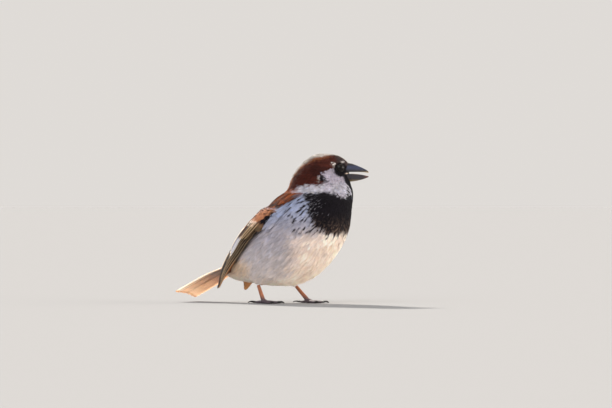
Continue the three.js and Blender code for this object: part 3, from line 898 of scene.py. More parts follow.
# %% Trim the feathers round the eyes
EYE_OPENING, EYE_RING, EYE_ZONE = 2.3, 4.5, 8
length = feather_length(roots) * (1 + dice.normal(0, 0.08, len(roots)))
length = length * (1 + 0.4 * whiskers(roots))
ways = lie(roots, root_normals)
free = np.ones(len(roots), bool)
for side, sign in SIDES.items():
    # Seen along the eye's axis, each feather is a straight line from its root. `miss` says how near to the
    # middle of the eye that line passes, squared, and `room` how far it may run before the opening.
    axis = eye_axis(sign)
    spoke = (roots - np.array(eye_middle[side])) / MM
    near = np.linalg.norm(spoke, axis=1) < EYE_ZONE
    flat = spoke - axis * (spoke @ axis)[:, None]
    step = ways - axis * (ways @ axis)[:, None]
    gap = np.linalg.norm(flat, axis=1)
    free &= ~(near & (gap < EYE_OPENING + 0.05))
    inward = -np.sum(flat * step, 1)
    miss = gap**2 - inward**2 / np.maximum(np.sum(step**2, 1), 1e-6)
    hits = near & (inward > 0) & (miss < EYE_OPENING**2)
    room = inward - np.sqrt(np.maximum(EYE_OPENING**2 - miss, 0))
    length = np.where(hits, np.clip(np.minimum(length, room * 0.95), 0.5, None), length)
    length = np.where(near & (gap < EYE_RING), np.minimum(length, 0.9 + 0.3 * (gap - EYE_OPENING)), length)

print(int((~free).sum()), "feathers would lie in the eyes' openings")

# %% Leave out what a wing covers
WING_ABOVE, SHOULDER_TOP = 5, 62
skin_tree = tree_of(skin)
wing_nodes = {s: [f"wing_{s}_{layer}" for layer in ("coverts", "secondaries", "primaries")] for s in SIDES}
wing_trees = [tree_of(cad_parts[node]) for nodes in wing_nodes.values() for node in nodes]


def under_wing(point, normal):
    """True where a wing lies close over the skin."""
    return any(tree.ray_cast(point, normal, WING_ABOVE * MM)[0] is not None for tree in wing_trees)


tips_at = roots + ways * (length * MM)[:, None]
root_over = wing_place(roots)[1]
for n in np.nonzero(free & (roots[:, 2] < SHOULDER_TOP * MM) & (root_over > 0.25))[0]:
    facing = root_normals[n].tolist()
    free[n] = not (under_wing(roots[n].tolist(), facing) and under_wing(tips_at[n].tolist(), facing))
roots, root_normals, length, root_over = roots[free], root_normals[free], length[free], root_over[free]

# %% [markdown]
# ## The tracts
# The roots are shared out among the tracts that a bird book names. Each tract is one coat piece, or one for
# each side, with its own kind of tuft: tiny and dense on the face, wispy on the flanks and belly, and broad
# and firm on the back.

# %% Share out the skin's roots
BELLY_SIDE, BREAST_FROM, HEAD_FROM = 12, 38, 66
RUMP_FROM, BACK_FROM = -14, 12
ahead, _, up = place(roots)
x, y, _ = roots.T / MM
tract = np.full(len(roots), "flanks", dtype="<U8")
tract[abs(y) < BELLY_SIDE] = "belly"
tract[(x < RUMP_FROM) | (from_cuffs(roots) < 5)] = "rump"
tract[(up > BREAST_FROM) & (ahead > -2) & (up < HEAD_FROM)] = "breast"
faces_up = (root_normals[:, 2] > 0.1) & (x < BACK_FROM) & (up < SHOULDER_TOP) & (x > -22) & (root_over > 0.12)
tract[(mantle(roots) > 0.3) | faces_up] = "mantle"
tract[up >= HEAD_FROM] = "head"
tract[(from_bill(roots) < 10) | ((up > 76) & (ahead > 12))] = "face"
kept = tract != "mantle"
roots, root_normals, length, tract = roots[kept], root_normals[kept], length[kept], tract[kept]
lines, line_ways = march(skin_tree, roots, root_normals, length)
print({name: int((tract == name).sum()) for name in np.unique(tract)})

# %% Share out the bed's roots
BACK_SIDE, BACK_END = 13, -24
x, y, z = bed_roots.T / MM
bed_tract = np.full(len(bed_roots), "none", dtype="<U8")
on_back = (bed_normals[:, 2] > 0.1) & (x < BACK_FROM) & (z < SHOULDER_TOP) & (abs(y) < BACK_SIDE)
bed_tract[(((mantle(bed_roots) > 0.3) & (z < HEAD_FROM)) | on_back) & (x > BACK_END)] = "mantle"
front_edge = (bed_at < 0.16) & ((bed_over < 0.04) | (bed_at < 0.02)) & (bed_gap < 4.5) & (bed_gap > 0.6)
bed_tract[front_edge & (bed_tract == "none")] = "side"
over_wing = (bed_gap < 2.3) & (bed_over > 0.02) & (bed_over < 0.98)
bed_tract[over_wing & (bed_at > 0.22)] = "none"
bed_tract[over_wing & (bed_at < 0.22) & (bed_over < 0.78)] = "shoulder"
scapulars = (bed_over > 0.86 - 0.9 * bed_at) & (bed_at < 0.3) | (bed_over > 0.85) & (bed_at < 0.4)
bed_tract[over_wing & scapulars] = "mantle"
bed_length = np.select(
    [bed_tract == "shoulder", bed_tract == "side"],
    [2.9 + 8 * bed_at, 6.5],
    1.25 * feather_length(bed_roots),
)
kept = bed_tract != "none"
bed_roots, bed_normals = bed_roots[kept], bed_normals[kept]
bed_length, bed_tract = bed_length[kept], bed_tract[kept]
bed_lines, bed_ways = march(bed_tree, bed_roots, bed_normals, bed_length)
print({name: int((bed_tract == name).sum()) for name in np.unique(bed_tract)})

# %% [markdown]
# ## Feather materials
# A barb has a silky sheen along its edge but no gloss. The colour comes from the markings, and a node group
# adds what is too fine to model: small clouds of lighter and darker colour, and the faint lines of the
# barbs. The same group serves the skin, the tufts and the flight feathers, each with its own values.

# %% The shared node group
def feather_group():
    """The node group that gives a feather its clouds and its barb lines."""
    group = bpy.data.node_groups.new("Feather finish", "ShaderNodeTree")
    sockets = (("Cloud size", 300.0), ("Cloud strength", 0.2), ("Barb lines", 40.0), ("Line strength", 0.1))
    for name, value in sockets:
        socket = group.interface.new_socket(name=name, in_out="INPUT", socket_type="NodeSocketFloat")
        socket.default_value = value
    group.interface.new_socket(name="Colour", in_out="OUTPUT", socket_type="NodeSocketColor")
    group.interface.new_socket(name="Height", in_out="OUTPUT", socket_type="NodeSocketFloat")
    nodes, links = group.nodes, group.links
    given, result = nodes.new("NodeGroupInput"), nodes.new("NodeGroupOutput")
    base = nodes.new("ShaderNodeAttribute")
    base.attribute_name = "Plumage"
    here = nodes.new("ShaderNodeTexCoord")
    cloud = nodes.new("ShaderNodeTexNoise")
    cloud.inputs["Detail"].default_value = 3
    links.new(here.outputs["Object"], cloud.inputs["Vector"])
    links.new(given.outputs["Cloud size"], cloud.inputs["Scale"])
    flat_map = nodes.new("ShaderNodeUVMap")
    flat_map.uv_map = "Barbs"
    lines = nodes.new("ShaderNodeTexWave")
    lines.bands_direction = "DIAGONAL"
    lines.inputs["Distortion"].default_value = 1.5
    links.new(flat_map.outputs["UV"], lines.inputs["Vector"])
    links.new(given.outputs["Barb lines"], lines.inputs["Scale"])

    def varied(pattern, strength):
        """1, raised and lowered by a pattern's distance from its middle value."""
        centre = nodes.new("ShaderNodeMath")
        centre.operation = "SUBTRACT"
        centre.inputs[1].default_value = 0.5
        links.new(pattern.outputs["Fac"], centre.inputs[0])
        share = nodes.new("ShaderNodeMath")
        share.operation = "MULTIPLY_ADD"
        share.inputs[2].default_value = 1.0
        links.new(centre.outputs[0], share.inputs[0])
        links.new(given.outputs[strength], share.inputs[1])
        return share

    shade = varied(cloud, "Cloud strength")
    both = varied(lines, "Line strength")
    links.new(shade.outputs[0], both.inputs[2])
    tone = nodes.new("ShaderNodeVectorMath")
    tone.operation = "SCALE"
    links.new(base.outputs["Color"], tone.inputs[0])
    links.new(both.outputs[0], tone.inputs["Scale"])
    links.new(tone.outputs["Vector"], result.inputs["Colour"])
    links.new(lines.outputs["Fac"], result.inputs["Height"])
    return group


FEATHER_FINISH = feather_group()
print(FEATHER_FINISH.name, "has", len(FEATHER_FINISH.nodes), "nodes")

# %% The feather materials
def feather_material(name, roughness, sheen, cloud=(300, 0.25), lines=(40, 0.1), bump=0.1):
    """A dull material with the feather finish; `cloud` and `lines` are each a size and a strength."""
    material = bpy.data.materials.new(name)
    material.use_nodes = True
    nodes, links = material.node_tree.nodes, material.node_tree.links
    shader = nodes["Principled BSDF"]
    finish = nodes.new("ShaderNodeGroup")
    finish.node_tree = FEATHER_FINISH
    finish.inputs["Cloud size"].default_value, finish.inputs["Cloud strength"].default_value = cloud
    finish.inputs["Barb lines"].default_value, finish.inputs["Line strength"].default_value = lines
    links.new(finish.outputs["Colour"], shader.inputs["Base Color"])
    relief = nodes.new("ShaderNodeBump")
    relief.inputs["Strength"].default_value = bump
    relief.inputs["Distance"].default_value = 0.05 * MM
    links.new(finish.outputs["Height"], relief.inputs["Height"])
    links.new(relief.outputs["Normal"], shader.inputs["Normal"])
    shader.inputs["Roughness"].default_value = roughness
    shader.inputs["Specular IOR Level"].default_value = 0.12
    shader.inputs["Sheen Weight"].default_value = sheen
    shader.inputs["Sheen Roughness"].default_value = 0.4
    return material


SOFT = feather_material("Soft plumage", 0.75, 0.1)
FIRM = feather_material("Firm plumage", 0.7, 0.02, lines=(60, 0.12), bump=0.2)
FIRM.node_tree.nodes["Principled BSDF"].inputs["Specular IOR Level"].default_value = 0.06
THIN = feather_material("Thin vanes", 0.6, 0.05, lines=(60, 0.12), bump=0.2)
thin_shader = THIN.node_tree.nodes["Principled BSDF"]
thin_shader.inputs["Subsurface Weight"].default_value = 0.7
thin_shader.inputs["Subsurface Radius"].default_value = (1.0, 0.7, 0.5)
thin_shader.inputs["Subsurface Scale"].default_value = 0.6 * MM
SKIN_FINISH = feather_material("Feathered skin", 0.85, 0.1, lines=(1, 0))
skin.data.materials.append(SKIN_FINISH)
ride(skin, "body_plumage", *FLESH)

# %% [markdown]
# ## Dress the soft parts
# Now each tract is grown. A few long, thin feathers hang from the white cheek over the black throat. Beside
# the bib the grey feathers carry black dashes: each dash has a seed, and the feathers in line with it share
# it, so that it reads as one stroke. The lower part of the bib is scaled with buff tips, and its side is
# flecked with pale barbs.

# %% Grow the tracts
LIFT = 0.95
FLUFF = 0.9


def grow(name, chosen, slot, look, width, on_bed=False, **kind):
    """Grows one coat piece from the chosen feathers of the skin, or of the bed."""
    line, way = (bed_lines[chosen], bed_ways[chosen]) if on_bed else (lines[chosen], line_ways[chosen])
    size = np.linalg.norm(line[:, -1] - line[:, 0], axis=1) / MM
    ahead, _, up = place(line[:, 0])
    fluff = FLUFF * smooth(up, 72, 78) * (1 - smooth(ahead, 3, 12))
    lift = np.full(len(line), BED_DEPTH + 0.1) if on_bed else coat_depth(line[:, 0]) * LIFT + fluff
    piece = tufts(name, line, way, width * size, lift, look, **kind)
    piece.data.materials.append(SOFT)
    ride(piece, slot)


# %% Face and head
face = tract == "face"
grow("coat_face", face, "head_plumage", plain_look(lines[face], vary=0.14), 0.55, blades=5, rows=2)

head = tract == "head"
grow("coat_head", head, "head_plumage", plain_look(lines[head], vary=0.13), 0.46, blades=7, rows=2)

# %% Whiskers over the throat
WHISKERS, WHISKER_LENGTH = 88, 5.0
fringe = np.nonzero((whiskers(roots) > 0.5) & (place(roots)[0] > 17) & (place(roots)[2] < 73))[0]
fringe = dice.permutation(fringe)[:WHISKERS]
long_way = np.array([head_ahead.x, head_ahead.y, -0.85])
long = np.full(len(fringe), WHISKER_LENGTH)
long_lines, long_ways = march(skin_tree, roots[fringe], root_normals[fringe], long, long_way)
look = plain_look(long_lines, np.repeat(NECK_BAND[None] * 1.5, len(fringe), 0), root=0.9)
thin, high = np.full(len(fringe), 0.42), np.full(len(fringe), 1.0)
whisker_piece = tufts("coat_whiskers", long_lines, long_ways, thin, high, look, blades=2, rough=0.4)
whisker_piece.data.materials.append(SOFT)
ride(whisker_piece, "head_plumage")

# %% Where the bib's fringe and flecks are
seen = lines[:, 2]
ahead, _, up = place(seen)
bib_share = bib(seen)
bib_edge = ahead - np.interp(up, BIB_EDGE_UP, BIB_EDGE_AHEAD)
edge_zone = (1 - smooth(up, 42, 55)) * bib_share
bib_fringe = np.where(dice.random(len(seen)) < 0.55, edge_zone, 0.1 * edge_zone)
bib_flecks = 0.11 * bib_share * smooth(up, 46, 60) * (1 - smooth(bib_edge, 2, 12)) * smooth(up, 45, 49)

# %% Dashes beside the bib
DASH_WIDTH, DASH_LENGTH, DASH_APART = 0.36, 1.8, 2.1
beside_zone = smooth(-bib_edge, -2.5, -0.5) * (1 - smooth(-bib_edge, 8, 16))
beside_zone = beside_zone * smooth(up, 38, 42) * (1 - smooth(up, 61, 64))
zone = beside_zone * (1 - bib_share)
dash_chance = (1.0 - 0.45 * smooth(-bib_edge, 2, 10)) * (zone > 0.1)
seeds = np.nonzero(dice.random(len(seen)) < 0.6)[0]
seeds = seeds[thin_out(seen[seeds] / MM, np.full(len(seeds), DASH_APART))]
seeds = seeds[dice.random(len(seeds)) < dash_chance[seeds]]
dash_tree = KDTree(len(seeds))
for n, place_of in zip(seeds.tolist(), seen[seeds].tolist()):
    dash_tree.insert(place_of, n)
dash_tree.balance()
shaft_streak = np.zeros(len(seen))
for n in np.nonzero(zone > 0.05)[0].tolist():
    for place_of, seed, _ in dash_tree.find_n(seen[n], 3):
        step = (seen[n] - seen[seed]) / MM
        way = unit(lines[seed, -1] - lines[seed, 0])
        ahead_by = step @ way
        beside_by = np.linalg.norm(step - way * ahead_by)
        if beside_by < DASH_WIDTH and abs(ahead_by) < DASH_LENGTH:
            shaft_streak[n] = 1.0
print(len(seeds), "dashes lie over", int(shaft_streak.sum()), "feathers")

# %% Breast, flanks, belly and rump
breast = tract == "breast"
patterns = {"streak": shaft_streak[breast], "tip": bib_fringe[breast], "fleck": bib_flecks[breast]}
look = plain_look(lines[breast], **patterns)
grow("coat_breast", breast, "neck_plumage", look, 0.36, blades=9, rough=0.3)

for side, sign in SIDES.items():
    flank = (tract == "flanks") & (roots[:, 1] * sign > 0)
    look = plain_look(lines[flank], vary=0.09, root=0.82, streak=shaft_streak[flank])
    grow(f"coat_flank_{side}", flank, "body_plumage", look, 0.26, blades=11, rough=0.6)

belly = tract == "belly"
look = plain_look(lines[belly], vary=0.06, cloud=0.1, root=0.86, streak=shaft_streak[belly])
grow("coat_belly", belly, "body_plumage", look, 0.26, blades=11, rough=0.6)

rump = tract == "rump"
look = plain_look(lines[rump], vary=0.08, root=0.82)
grow("coat_rump", rump, "body_plumage", look, 0.3, blades=11, rough=0.55)

# %% [markdown]
# ## Dress the back and the shoulders
# The feathers of the mantle follow the back's black and brown stripes, and half of them have a black streak
# along the middle. Those of the shoulder are chestnut, black where they near the wing's lower edge, and end
# in a pale bar. Feathers from the side of the breast reach over the shoulder, so that it seems to slip
# under them.

# %% The shoulder's colours
def shoulder_colours(points):
    """The colours of the wing's small coverts by their place over the wing, with a painted sunlit rim along
    their upper part.
    """
    at, over, _ = wing_place(points)
    colour = np.repeat(SHOULDER_ORANGE[None], len(points), 0)
    # Painted sunlight: the shoulder's upper part is laid pale, as a rim lit from behind.
    colour = lay(colour, SHOULDER_SUNLIT_RIM, 0.75 * smooth(over, 0.5, 0.78))
    colour = lay(colour, LILAC_GREY, 0.6 * (1 - smooth(at, 0.0, 0.07 + 0.06 * smooth(over, 0.3, 0.5))))
    black = smooth(at, 0.03, 0.07) * (1 - smooth(over - 0.9 * at, 0.02, 0.1)) * (1 - smooth(at, 0.19, 0.23))
    colour = lay(colour, BLACK, black)
    lower = smooth(at, 0.19, 0.23) * (1 - smooth(over, 0.25, 0.4))
    colour = lay(colour, COVERT_SHADE, lower)
    bar = smooth(at, 0.195, 0.215) * smooth(over, 0.2, 0.35) * (1 - smooth(over, 0.8, 0.9))
    return lay(colour, WARM_CREAM, 0.8 * bar)


# %% Mantle, shoulders and sides
back = bed_tract == "mantle"
back_seen = bed_lines[back][:, 2]
facing_up = smooth(bed_normals[back][:, 2], -0.2, 0.2) * (1 - smooth(place(back_seen)[2], 62, 66))
brown = lay(markings(back_seen), MANTLE, facing_up)
brown = lay(brown, DARK_STREAK, back_stripes(back_seen))
back_streak = np.where(dice.random(back.sum()) < 0.5, 0.8, 0.1)
look = plain_look(bed_lines[back], brown, vary=0.16, streak=back_streak)
grow("coat_mantle", back, "body_plumage", look, 0.4, on_bed=True, blades=11, rough=0.12, point=3)

shoulder = bed_tract == "shoulder"
look = plain_look(bed_lines[shoulder], shoulder_colours(bed_lines[shoulder][:, 2]), vary=0.15)
grow("coat_shoulder", shoulder, "wing_plumage", look, 0.55, on_bed=True, blades=7, rough=0.12, point=3)

side_of_breast = bed_tract == "side"
look = plain_look(bed_lines[side_of_breast], markings(bed_roots[side_of_breast]), vary=0.08)
grow("coat_side", side_of_breast, "body_plumage", look, 0.34, on_bed=True, blades=9, rough=0.4)

# %% [markdown]
# ## The eyes
# A sparrow's eye is a dark brown bead, so dark that only its shine shows it. The ball is a smooth sphere in
# the solid's place, with a nearly black iris ring painted round a black pupil by its own directions, and a
# thin, dark ring of bare lid where it meets the face.

# %% Materials with the piece's own colours
def principled(name, colour, roughness, coat=0.0, coat_roughness=0.03):
    """A plain material and its shader."""
    material = bpy.data.materials.new(name)
    material.use_nodes = True
    shader = material.node_tree.nodes["Principled BSDF"]
    shader.inputs["Base Color"].default_value = (*colour, 1)
    shader.inputs["Roughness"].default_value = roughness
    shader.inputs["Coat Weight"].default_value = coat
    shader.inputs["Coat Roughness"].default_value = coat_roughness
    return material, shader


def attribute_colour(material, shader, cloud_size, cloud_strength, bump, distance):
    """The piece's own colours, clouded and roughened a little by noise."""
    nodes, links = material.node_tree.nodes, material.node_tree.links
    base = nodes.new("ShaderNodeAttribute")
    base.attribute_name = "Plumage"
    here = nodes.new("ShaderNodeTexCoord")
    cloud = nodes.new("ShaderNodeTexNoise")
    cloud.inputs["Scale"].default_value = cloud_size
    cloud.inputs["Detail"].default_value = 4
    links.new(here.outputs["Object"], cloud.inputs["Vector"])
    spread = nodes.new("ShaderNodeMapRange")
    spread.inputs["To Min"].default_value = 1 - cloud_strength
    spread.inputs["To Max"].default_value = 1 + cloud_strength
    links.new(cloud.outputs["Fac"], spread.inputs["Value"])
    tone = nodes.new("ShaderNodeVectorMath")
    tone.operation = "SCALE"
    links.new(base.outputs["Color"], tone.inputs[0])
    links.new(spread.outputs["Result"], tone.inputs["Scale"])
    links.new(tone.outputs["Vector"], shader.inputs["Base Color"])
    relief = nodes.new("ShaderNodeBump")
    relief.inputs["Strength"].default_value = bump
    relief.inputs["Distance"].default_value = distance * MM
    links.new(cloud.outputs["Fac"], relief.inputs["Height"])
    links.new(relief.outputs["Normal"], shader.inputs["Normal"])


# %% Finish of eyes and lids
EYE_FINISH, shader = principled("Wet eye", (0.02, 0.01, 0.006), 0.1)
shader.inputs["Specular IOR Level"].default_value = 0.2
attribute_colour(EYE_FINISH, shader, 900, 0.15, 0.0, 0.01)
LID_FINISH, shader = principled("Bare lid", (0.03, 0.027, 0.03), 0.55)
attribute_colour(LID_FINISH, shader, 1500, 0.3, 0.4, 0.05)

# %% Eyes and lids
PUPIL, IRIS = paint("040303"), paint("150e0a")
LID_COLOUR = paint("0e0c0d")
LID_HEIGHT, LID_THICK = 1.6, 0.15
for side, sign in SIDES.items():
    centre, axis = eye_middle[side], Vector(eye_axis(sign))
    bpy.ops.mesh.primitive_uv_sphere_add(segments=48, ring_count=32, radius=eye_radius, location=centre)
    eye = bpy.context.object
    eye.name = eye.data.name = f"eyeball_{side}"
    settle(eye)
    facing = unit(corners(eye) - np.array(centre)) @ np.array(axis)
    set_colours(eye, lay(np.repeat(PUPIL[None], len(facing), 0), IRIS, 1 - smooth(facing, 0.84, 0.88)))
    eye.data.materials.append(EYE_FINISH)
    bpy.ops.object.shade_smooth()
    ride(eye, "eye", f"eye_{side}")

    rim = math.sqrt((eye_radius / MM) ** 2 - LID_HEIGHT**2) * MM
    lid_at = centre + axis * LID_HEIGHT * MM
    turn = axis.to_track_quat("Z", "Y").to_euler()
    ring = {"major_radius": rim * 0.99, "minor_radius": LID_THICK * MM}
    ring |= {"major_segments": 64, "minor_segments": 12}
    bpy.ops.mesh.primitive_torus_add(location=lid_at, rotation=turn, **ring)
    lid = bpy.context.object
    lid.name = lid.data.name = f"lid_{side}"
    settle(lid)
    set_colours(lid, np.repeat(LID_COLOUR[None], len(lid.data.vertices), 0))
    lid.data.materials.append(LID_FINISH)
    bpy.ops.object.shade_smooth()
    ride(lid, "eye")


# %% [markdown]
# ## The bill
# A seed eater's bill is a stout cone of blue-black horn in two halves, slightly open, with paler yellowish
# edges where they meet and brown mottling on the lower half. Each half starts from its solid. Its base is
# pulled back into the face, so that the feathers close round it, and it is remeshed finely and smoothed.

# %% Horn
# The bill's blue is partly the horn's own tint and partly a painted bluish sheen along the side of the upper
# half.
BILL_DARK, BILL_BLUE_AND_SHEEN, BILL_EDGE = paint("141018"), paint("262c46"), paint("a98f5a")
BILL_TIP, BILL_BROWN = paint("7a5146"), paint("2e2528")
BASE_PULL = 2.4
CUTTING_EDGE = {"upper": 78.35, "lower": 77.2}
HORN, shader = principled("Horn of the bill", (0.05, 0.05, 0.07), 0.42, coat=0.1, coat_roughness=0.3)
attribute_colour(HORN, shader, 700, 0.25, 0.15, 0.08)
for half, node in (("upper", "bill_upper"), ("lower", "bill_lower")):
    horn = twin(f"horn_{half}", node)
    places = corners(horn)
    ahead_of = place(places)[0]
    at_base = (ahead_of < ahead_of.min() + 3.2) & (outward(horn) @ np.array(head_ahead) < -0.25)
    places[at_base] -= np.array(head_ahead) * BASE_PULL * MM
    move_corners(horn, places)
    apply(horn, "REMESH", mode="VOXEL", voxel_size=0.16 * MM)
    apply(horn, "SMOOTH", factor=0.5, iterations=24)
    bpy.ops.object.shade_smooth()
    ahead_of, _, high = place(corners(horn))
    above_edge = high - CUTTING_EDGE[half]
    edge = (1 - smooth(abs(above_edge), 0.1, 0.38)) * smooth(ahead_of, 22, 31)
    # Painted sheen: a band along the side of the upper half is laid lighter blue; the lower half gets a
    # little of it over a plain blue tint.
    blue_and_sheen = smooth(above_edge, 0.6, 2.4) * (1 - smooth(above_edge, 3.4, 4.6))
    if half == "lower":
        blue_and_sheen = 0.3 * blue_and_sheen + 0.2
    tone = lay(np.repeat(BILL_DARK[None], len(high), 0), BILL_BLUE_AND_SHEEN, blue_and_sheen)
    streaks = 0.5 + 0.5 * clumps(corners(horn) * [0.35, 0.35, 1.6], 0.7)
    tone = tone * (0.75 + 0.5 * streaks)[:, None]
    tone = lay(tone, BILL_EDGE, 0.8 * edge)
    if half == "lower":
        tone = lay(tone, BILL_TIP, 0.7 * smooth(ahead_of, 30, 33.5))
        tone = lay(tone, BILL_BROWN, 0.85 * smooth(clumps(corners(horn), 0.6, 3.0), -0.05, 0.12))
        tone = lay(tone, BILL_EDGE, 0.45 * (1 - smooth(high, 73.0, 74.4)))
    set_colours(horn, tone)
    horn.data.materials.append(HORN)
    ride(horn, "bill", node)


# %% [markdown]
# ## Legs, feet and claws
# The shank and toes are covered with horny plates called scutes. Shank and foot are remeshed as one piece,
# and each scute is a low step in the surface: rings up the shank, and rings across each toe at even
# distances from the foot's middle. Each toe is tapered round its claw, and the claw's inner end is drawn
# back into it, so that the two look grown together.

# %% Finish of legs and claws
LEG_PINK, TOE_GREY = paint("ad6f52"), paint("5c5057")
LEG, shader = principled("Scaly leg", (0.3, 0.2, 0.16), 0.6)
shader.inputs["Specular IOR Level"].default_value = 0.25
attribute_colour(LEG, shader, 900, 0.3, 0.3, 0.06)
CLAW_COLOUR = paint("1d1a1b")
CLAW, shader = principled("Claw horn", (0.02, 0.018, 0.018), 0.45)
shader.inputs["Specular IOR Level"].default_value = 0.3
attribute_colour(CLAW, shader, 1200, 0.2, 0.1, 0.03)
SCUTE, SCUTE_STEP = 0.72, 0.085
TOES = ("inner", "middle", "outer", "hind")
TOE_TAPER, CLAW_ROOT = 0.32, 0.9
HUB_AHEAD, LEG_SWELL = 0.8, 0.2

# %% Toes, scutes and claws
def claw_base(places, hub):
    """The middle of a claw's inner end, and the way its toe points there."""
    out = np.linalg.norm(places[:, :2] - hub, axis=1)
    base = places[out < out.min() + 0.3 * MM].mean(0)
    return base, unit((base - [*hub, base[2]])[None])[0]


def taper_toes(places, bases):
    """Draws the end of each toe in round its claw."""
    for base, way in bases:
        along = (places - base) @ way / MM
        spoke = places - base - along[:, None] * way * MM
        near = smooth(along, -2.4, 0.1) * (np.linalg.norm(spoke, axis=1) < 1.4 * MM)
        places = places - spoke * (TOE_TAPER * near)[:, None]
    return places


def scutes(places, hub):
    """Which places are on the shank, and how far through its scute each one lies."""
    out = np.linalg.norm(places[:, :2] - hub, axis=1) / MM
    shank = smooth(places[:, 2] / MM, 2.0, 3.0)
    ring = np.where(shank > 0.5, places[:, 2] / MM, out) / SCUTE
    return shank, ring - np.floor(ring)


def dress_claw(claw, base, way):
    """Rounds a claw and draws its inner end back into the toe."""
    apply(claw, "SUBSURF", levels=2, render_levels=2)
    along = (corners(claw) - base) @ way / MM
    move_corners(claw, corners(claw) - way * (CLAW_ROOT * (1 - smooth(along, 0.1, 0.7)) * MM)[:, None])
    bpy.ops.object.shade_smooth()
    set_colours(claw, np.repeat(CLAW_COLOUR[None], len(claw.data.vertices), 0))
    claw.data.materials.append(CLAW)


# %% Legs and claws
for side in SIDES:
    leg = twin(f"leg_{side}", f"shank_{side}", f"foot_{side}")
    in_edit(leg, bpy.ops.transform.shrink_fatten, value=LEG_SWELL * MM)
    apply(leg, "REMESH", mode="VOXEL", voxel_size=0.15 * MM)
    apply(leg, "SMOOTH", factor=0.5, iterations=12)
    low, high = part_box(f"shank_{side}")
    hub = np.array([low.x + (high.x - low.x) * HUB_AHEAD, (low.y + high.y) / 2])
    claws = [twin(f"talon_{side}_{toe}", f"claw_{side}_{toe}") for toe in TOES]
    bases = [claw_base(corners(claw), hub) for claw in claws]
    places, facing = taper_toes(corners(leg), bases), outward(leg)
    shank, within = scutes(places, hub)
    step = SCUTE_STEP * (1 - within) * smooth(within, 0, 0.35) * smooth(facing[:, 2] + shank, -0.4, 0.1)
    places = places + facing * ((step - LEG_SWELL) * MM)[:, None]
    places[:, 2] = np.maximum(places[:, 2], 0.0)
    move_corners(leg, places)
    bpy.ops.object.shade_smooth()
    tone = lay(np.repeat(TOE_GREY[None], len(places), 0), LEG_PINK, smooth(places[:, 2] / MM, 1.6, 5.5))
    tone = tone * (0.75 + 0.35 * (1 - within) * smooth(within, 0, 0.25))[:, None]
    set_colours(leg, tone)
    leg.data.materials.append(LEG)
    ride(leg, "leg", f"shank_{side}", f"foot_{side}")
    for toe, claw, (base, way) in zip(TOES, claws, bases):
        dress_claw(claw, base, way)
        ride(claw, "claw", f"claw_{side}_{toe}")


# %% [markdown]
# ## Flight feathers
# The feathers of the wings and the tail are too big for tufts. Each is a thin closed vane: a row of flat
# oval sections along its shaft, narrow at the quill, full from a third of the way on and round at the tip,
# with a little ridge for the shaft and a few splits where barbs have parted.

# %% One vane
VANE_STEPS = 26
ACROSS = np.array([-1, -0.8, -0.45, -0.15, 0, 0.15, 0.5, 0.74, 0.86, 1])
VANE_AT = 1 - (1 - np.linspace(0, 1, VANE_STEPS + 1)) ** 1.5
VANE_BOW, SHAFT_RIDGE = 0.03, 0.10


def vane(path, sides, ups, wide_out, wide_in, thick, tip_round, top_look, under_look, splits=1):
    """One feather along a path of VANE_STEPS + 1 places: its corners, colours, map places and triangles."""
    at = VANE_AT
    blunt = np.clip((at - 1 + tip_round) / tip_round, 0, 1)
    outline_width = smooth(at, -0.15, 0.3) * np.sqrt(np.clip(1 - blunt**2.2, 0.003, 1))
    places, tones, marks = [], [], []
    split_rows = dice.integers(9, 23, splits)
    notches = {int(n): (dice.choice([-1, 1]), 0.7 + 0.2 * dice.random()) for n in split_rows}
    # The places go round each section, over the top and back below, so that the vane is closed.
    for n, t in enumerate(at):
        size = np.where(ACROSS < 0, wide_in, wide_out) * outline_width[n]
        if n in notches:
            which, keep = notches[n]
            size = np.where(np.sign(ACROSS) == which, size * keep, size)
        offset = ACROSS * size
        bow = -VANE_BOW * offset**2
        body = thick * np.sqrt(np.clip(1 - ACROSS**2, 0, 1)) * (1 - 0.5 * t)
        shaft = SHAFT_RIDGE * (1 - 0.8 * t) * (ACROSS == 0)
        for face, look in ((1, top_look), (-1, under_look)):
            shown = range(len(ACROSS)) if face > 0 else range(len(ACROSS) - 2, 0, -1)
            for k in shown:
                height = bow[k] + face * body[k] + face * shaft[k]
                places.append(path[n] + sides[n] * offset[k] * MM + ups[n] * height * MM)
                tones.append(look(t, ACROSS[k]))
                marks.append((ACROSS[k] * 0.5 + 0.5, t))
    around = 2 * len(ACROSS) - 2
    faces = []
    for n in range(VANE_STEPS):
        for k in range(around):
            a, b = n * around + k, n * around + (k + 1) % around
            faces += [[a, b, b + around], [a, b + around, a + around]]
    for start, flip in ((0, True), (VANE_STEPS * around, False)):
        for k in range(1, around - 1):
            face = [start, start + k, start + k + 1]
            faces.append(face[::-1] if flip else face)
    return np.array(places), np.array(tones), np.array(marks), np.array(faces)


# %% Several vanes in one piece
def bundle(name, vanes, columns):
    """One piece from several vanes, each with its own cell on the map for baking."""
    places, tones, marks, faces, cells, start = [], [], [], [], [], 0
    for n, (p, c, m, f) in enumerate(vanes):
        places.append(p)
        tones.append(c)
        marks.append(m)
        cell = np.array([n % columns, n // columns])
        cells.append((cell + 0.06 + 0.88 * m) / columns)
        faces.append(f[:, ::-1] + start)
        start += len(p)
    faces = np.concatenate(faces)
    piece = mesh_from(name, np.concatenate(places), faces)
    set_colours(piece, np.concatenate(tones))
    set_map(piece, "OFBake", np.concatenate(cells), faces)
    set_map(piece, "Barbs", np.concatenate(marks), faces)
    piece.data.materials.append(FIRM)
    in_edit(piece, bpy.ops.mesh.normals_make_consistent, inside=False)
    return piece


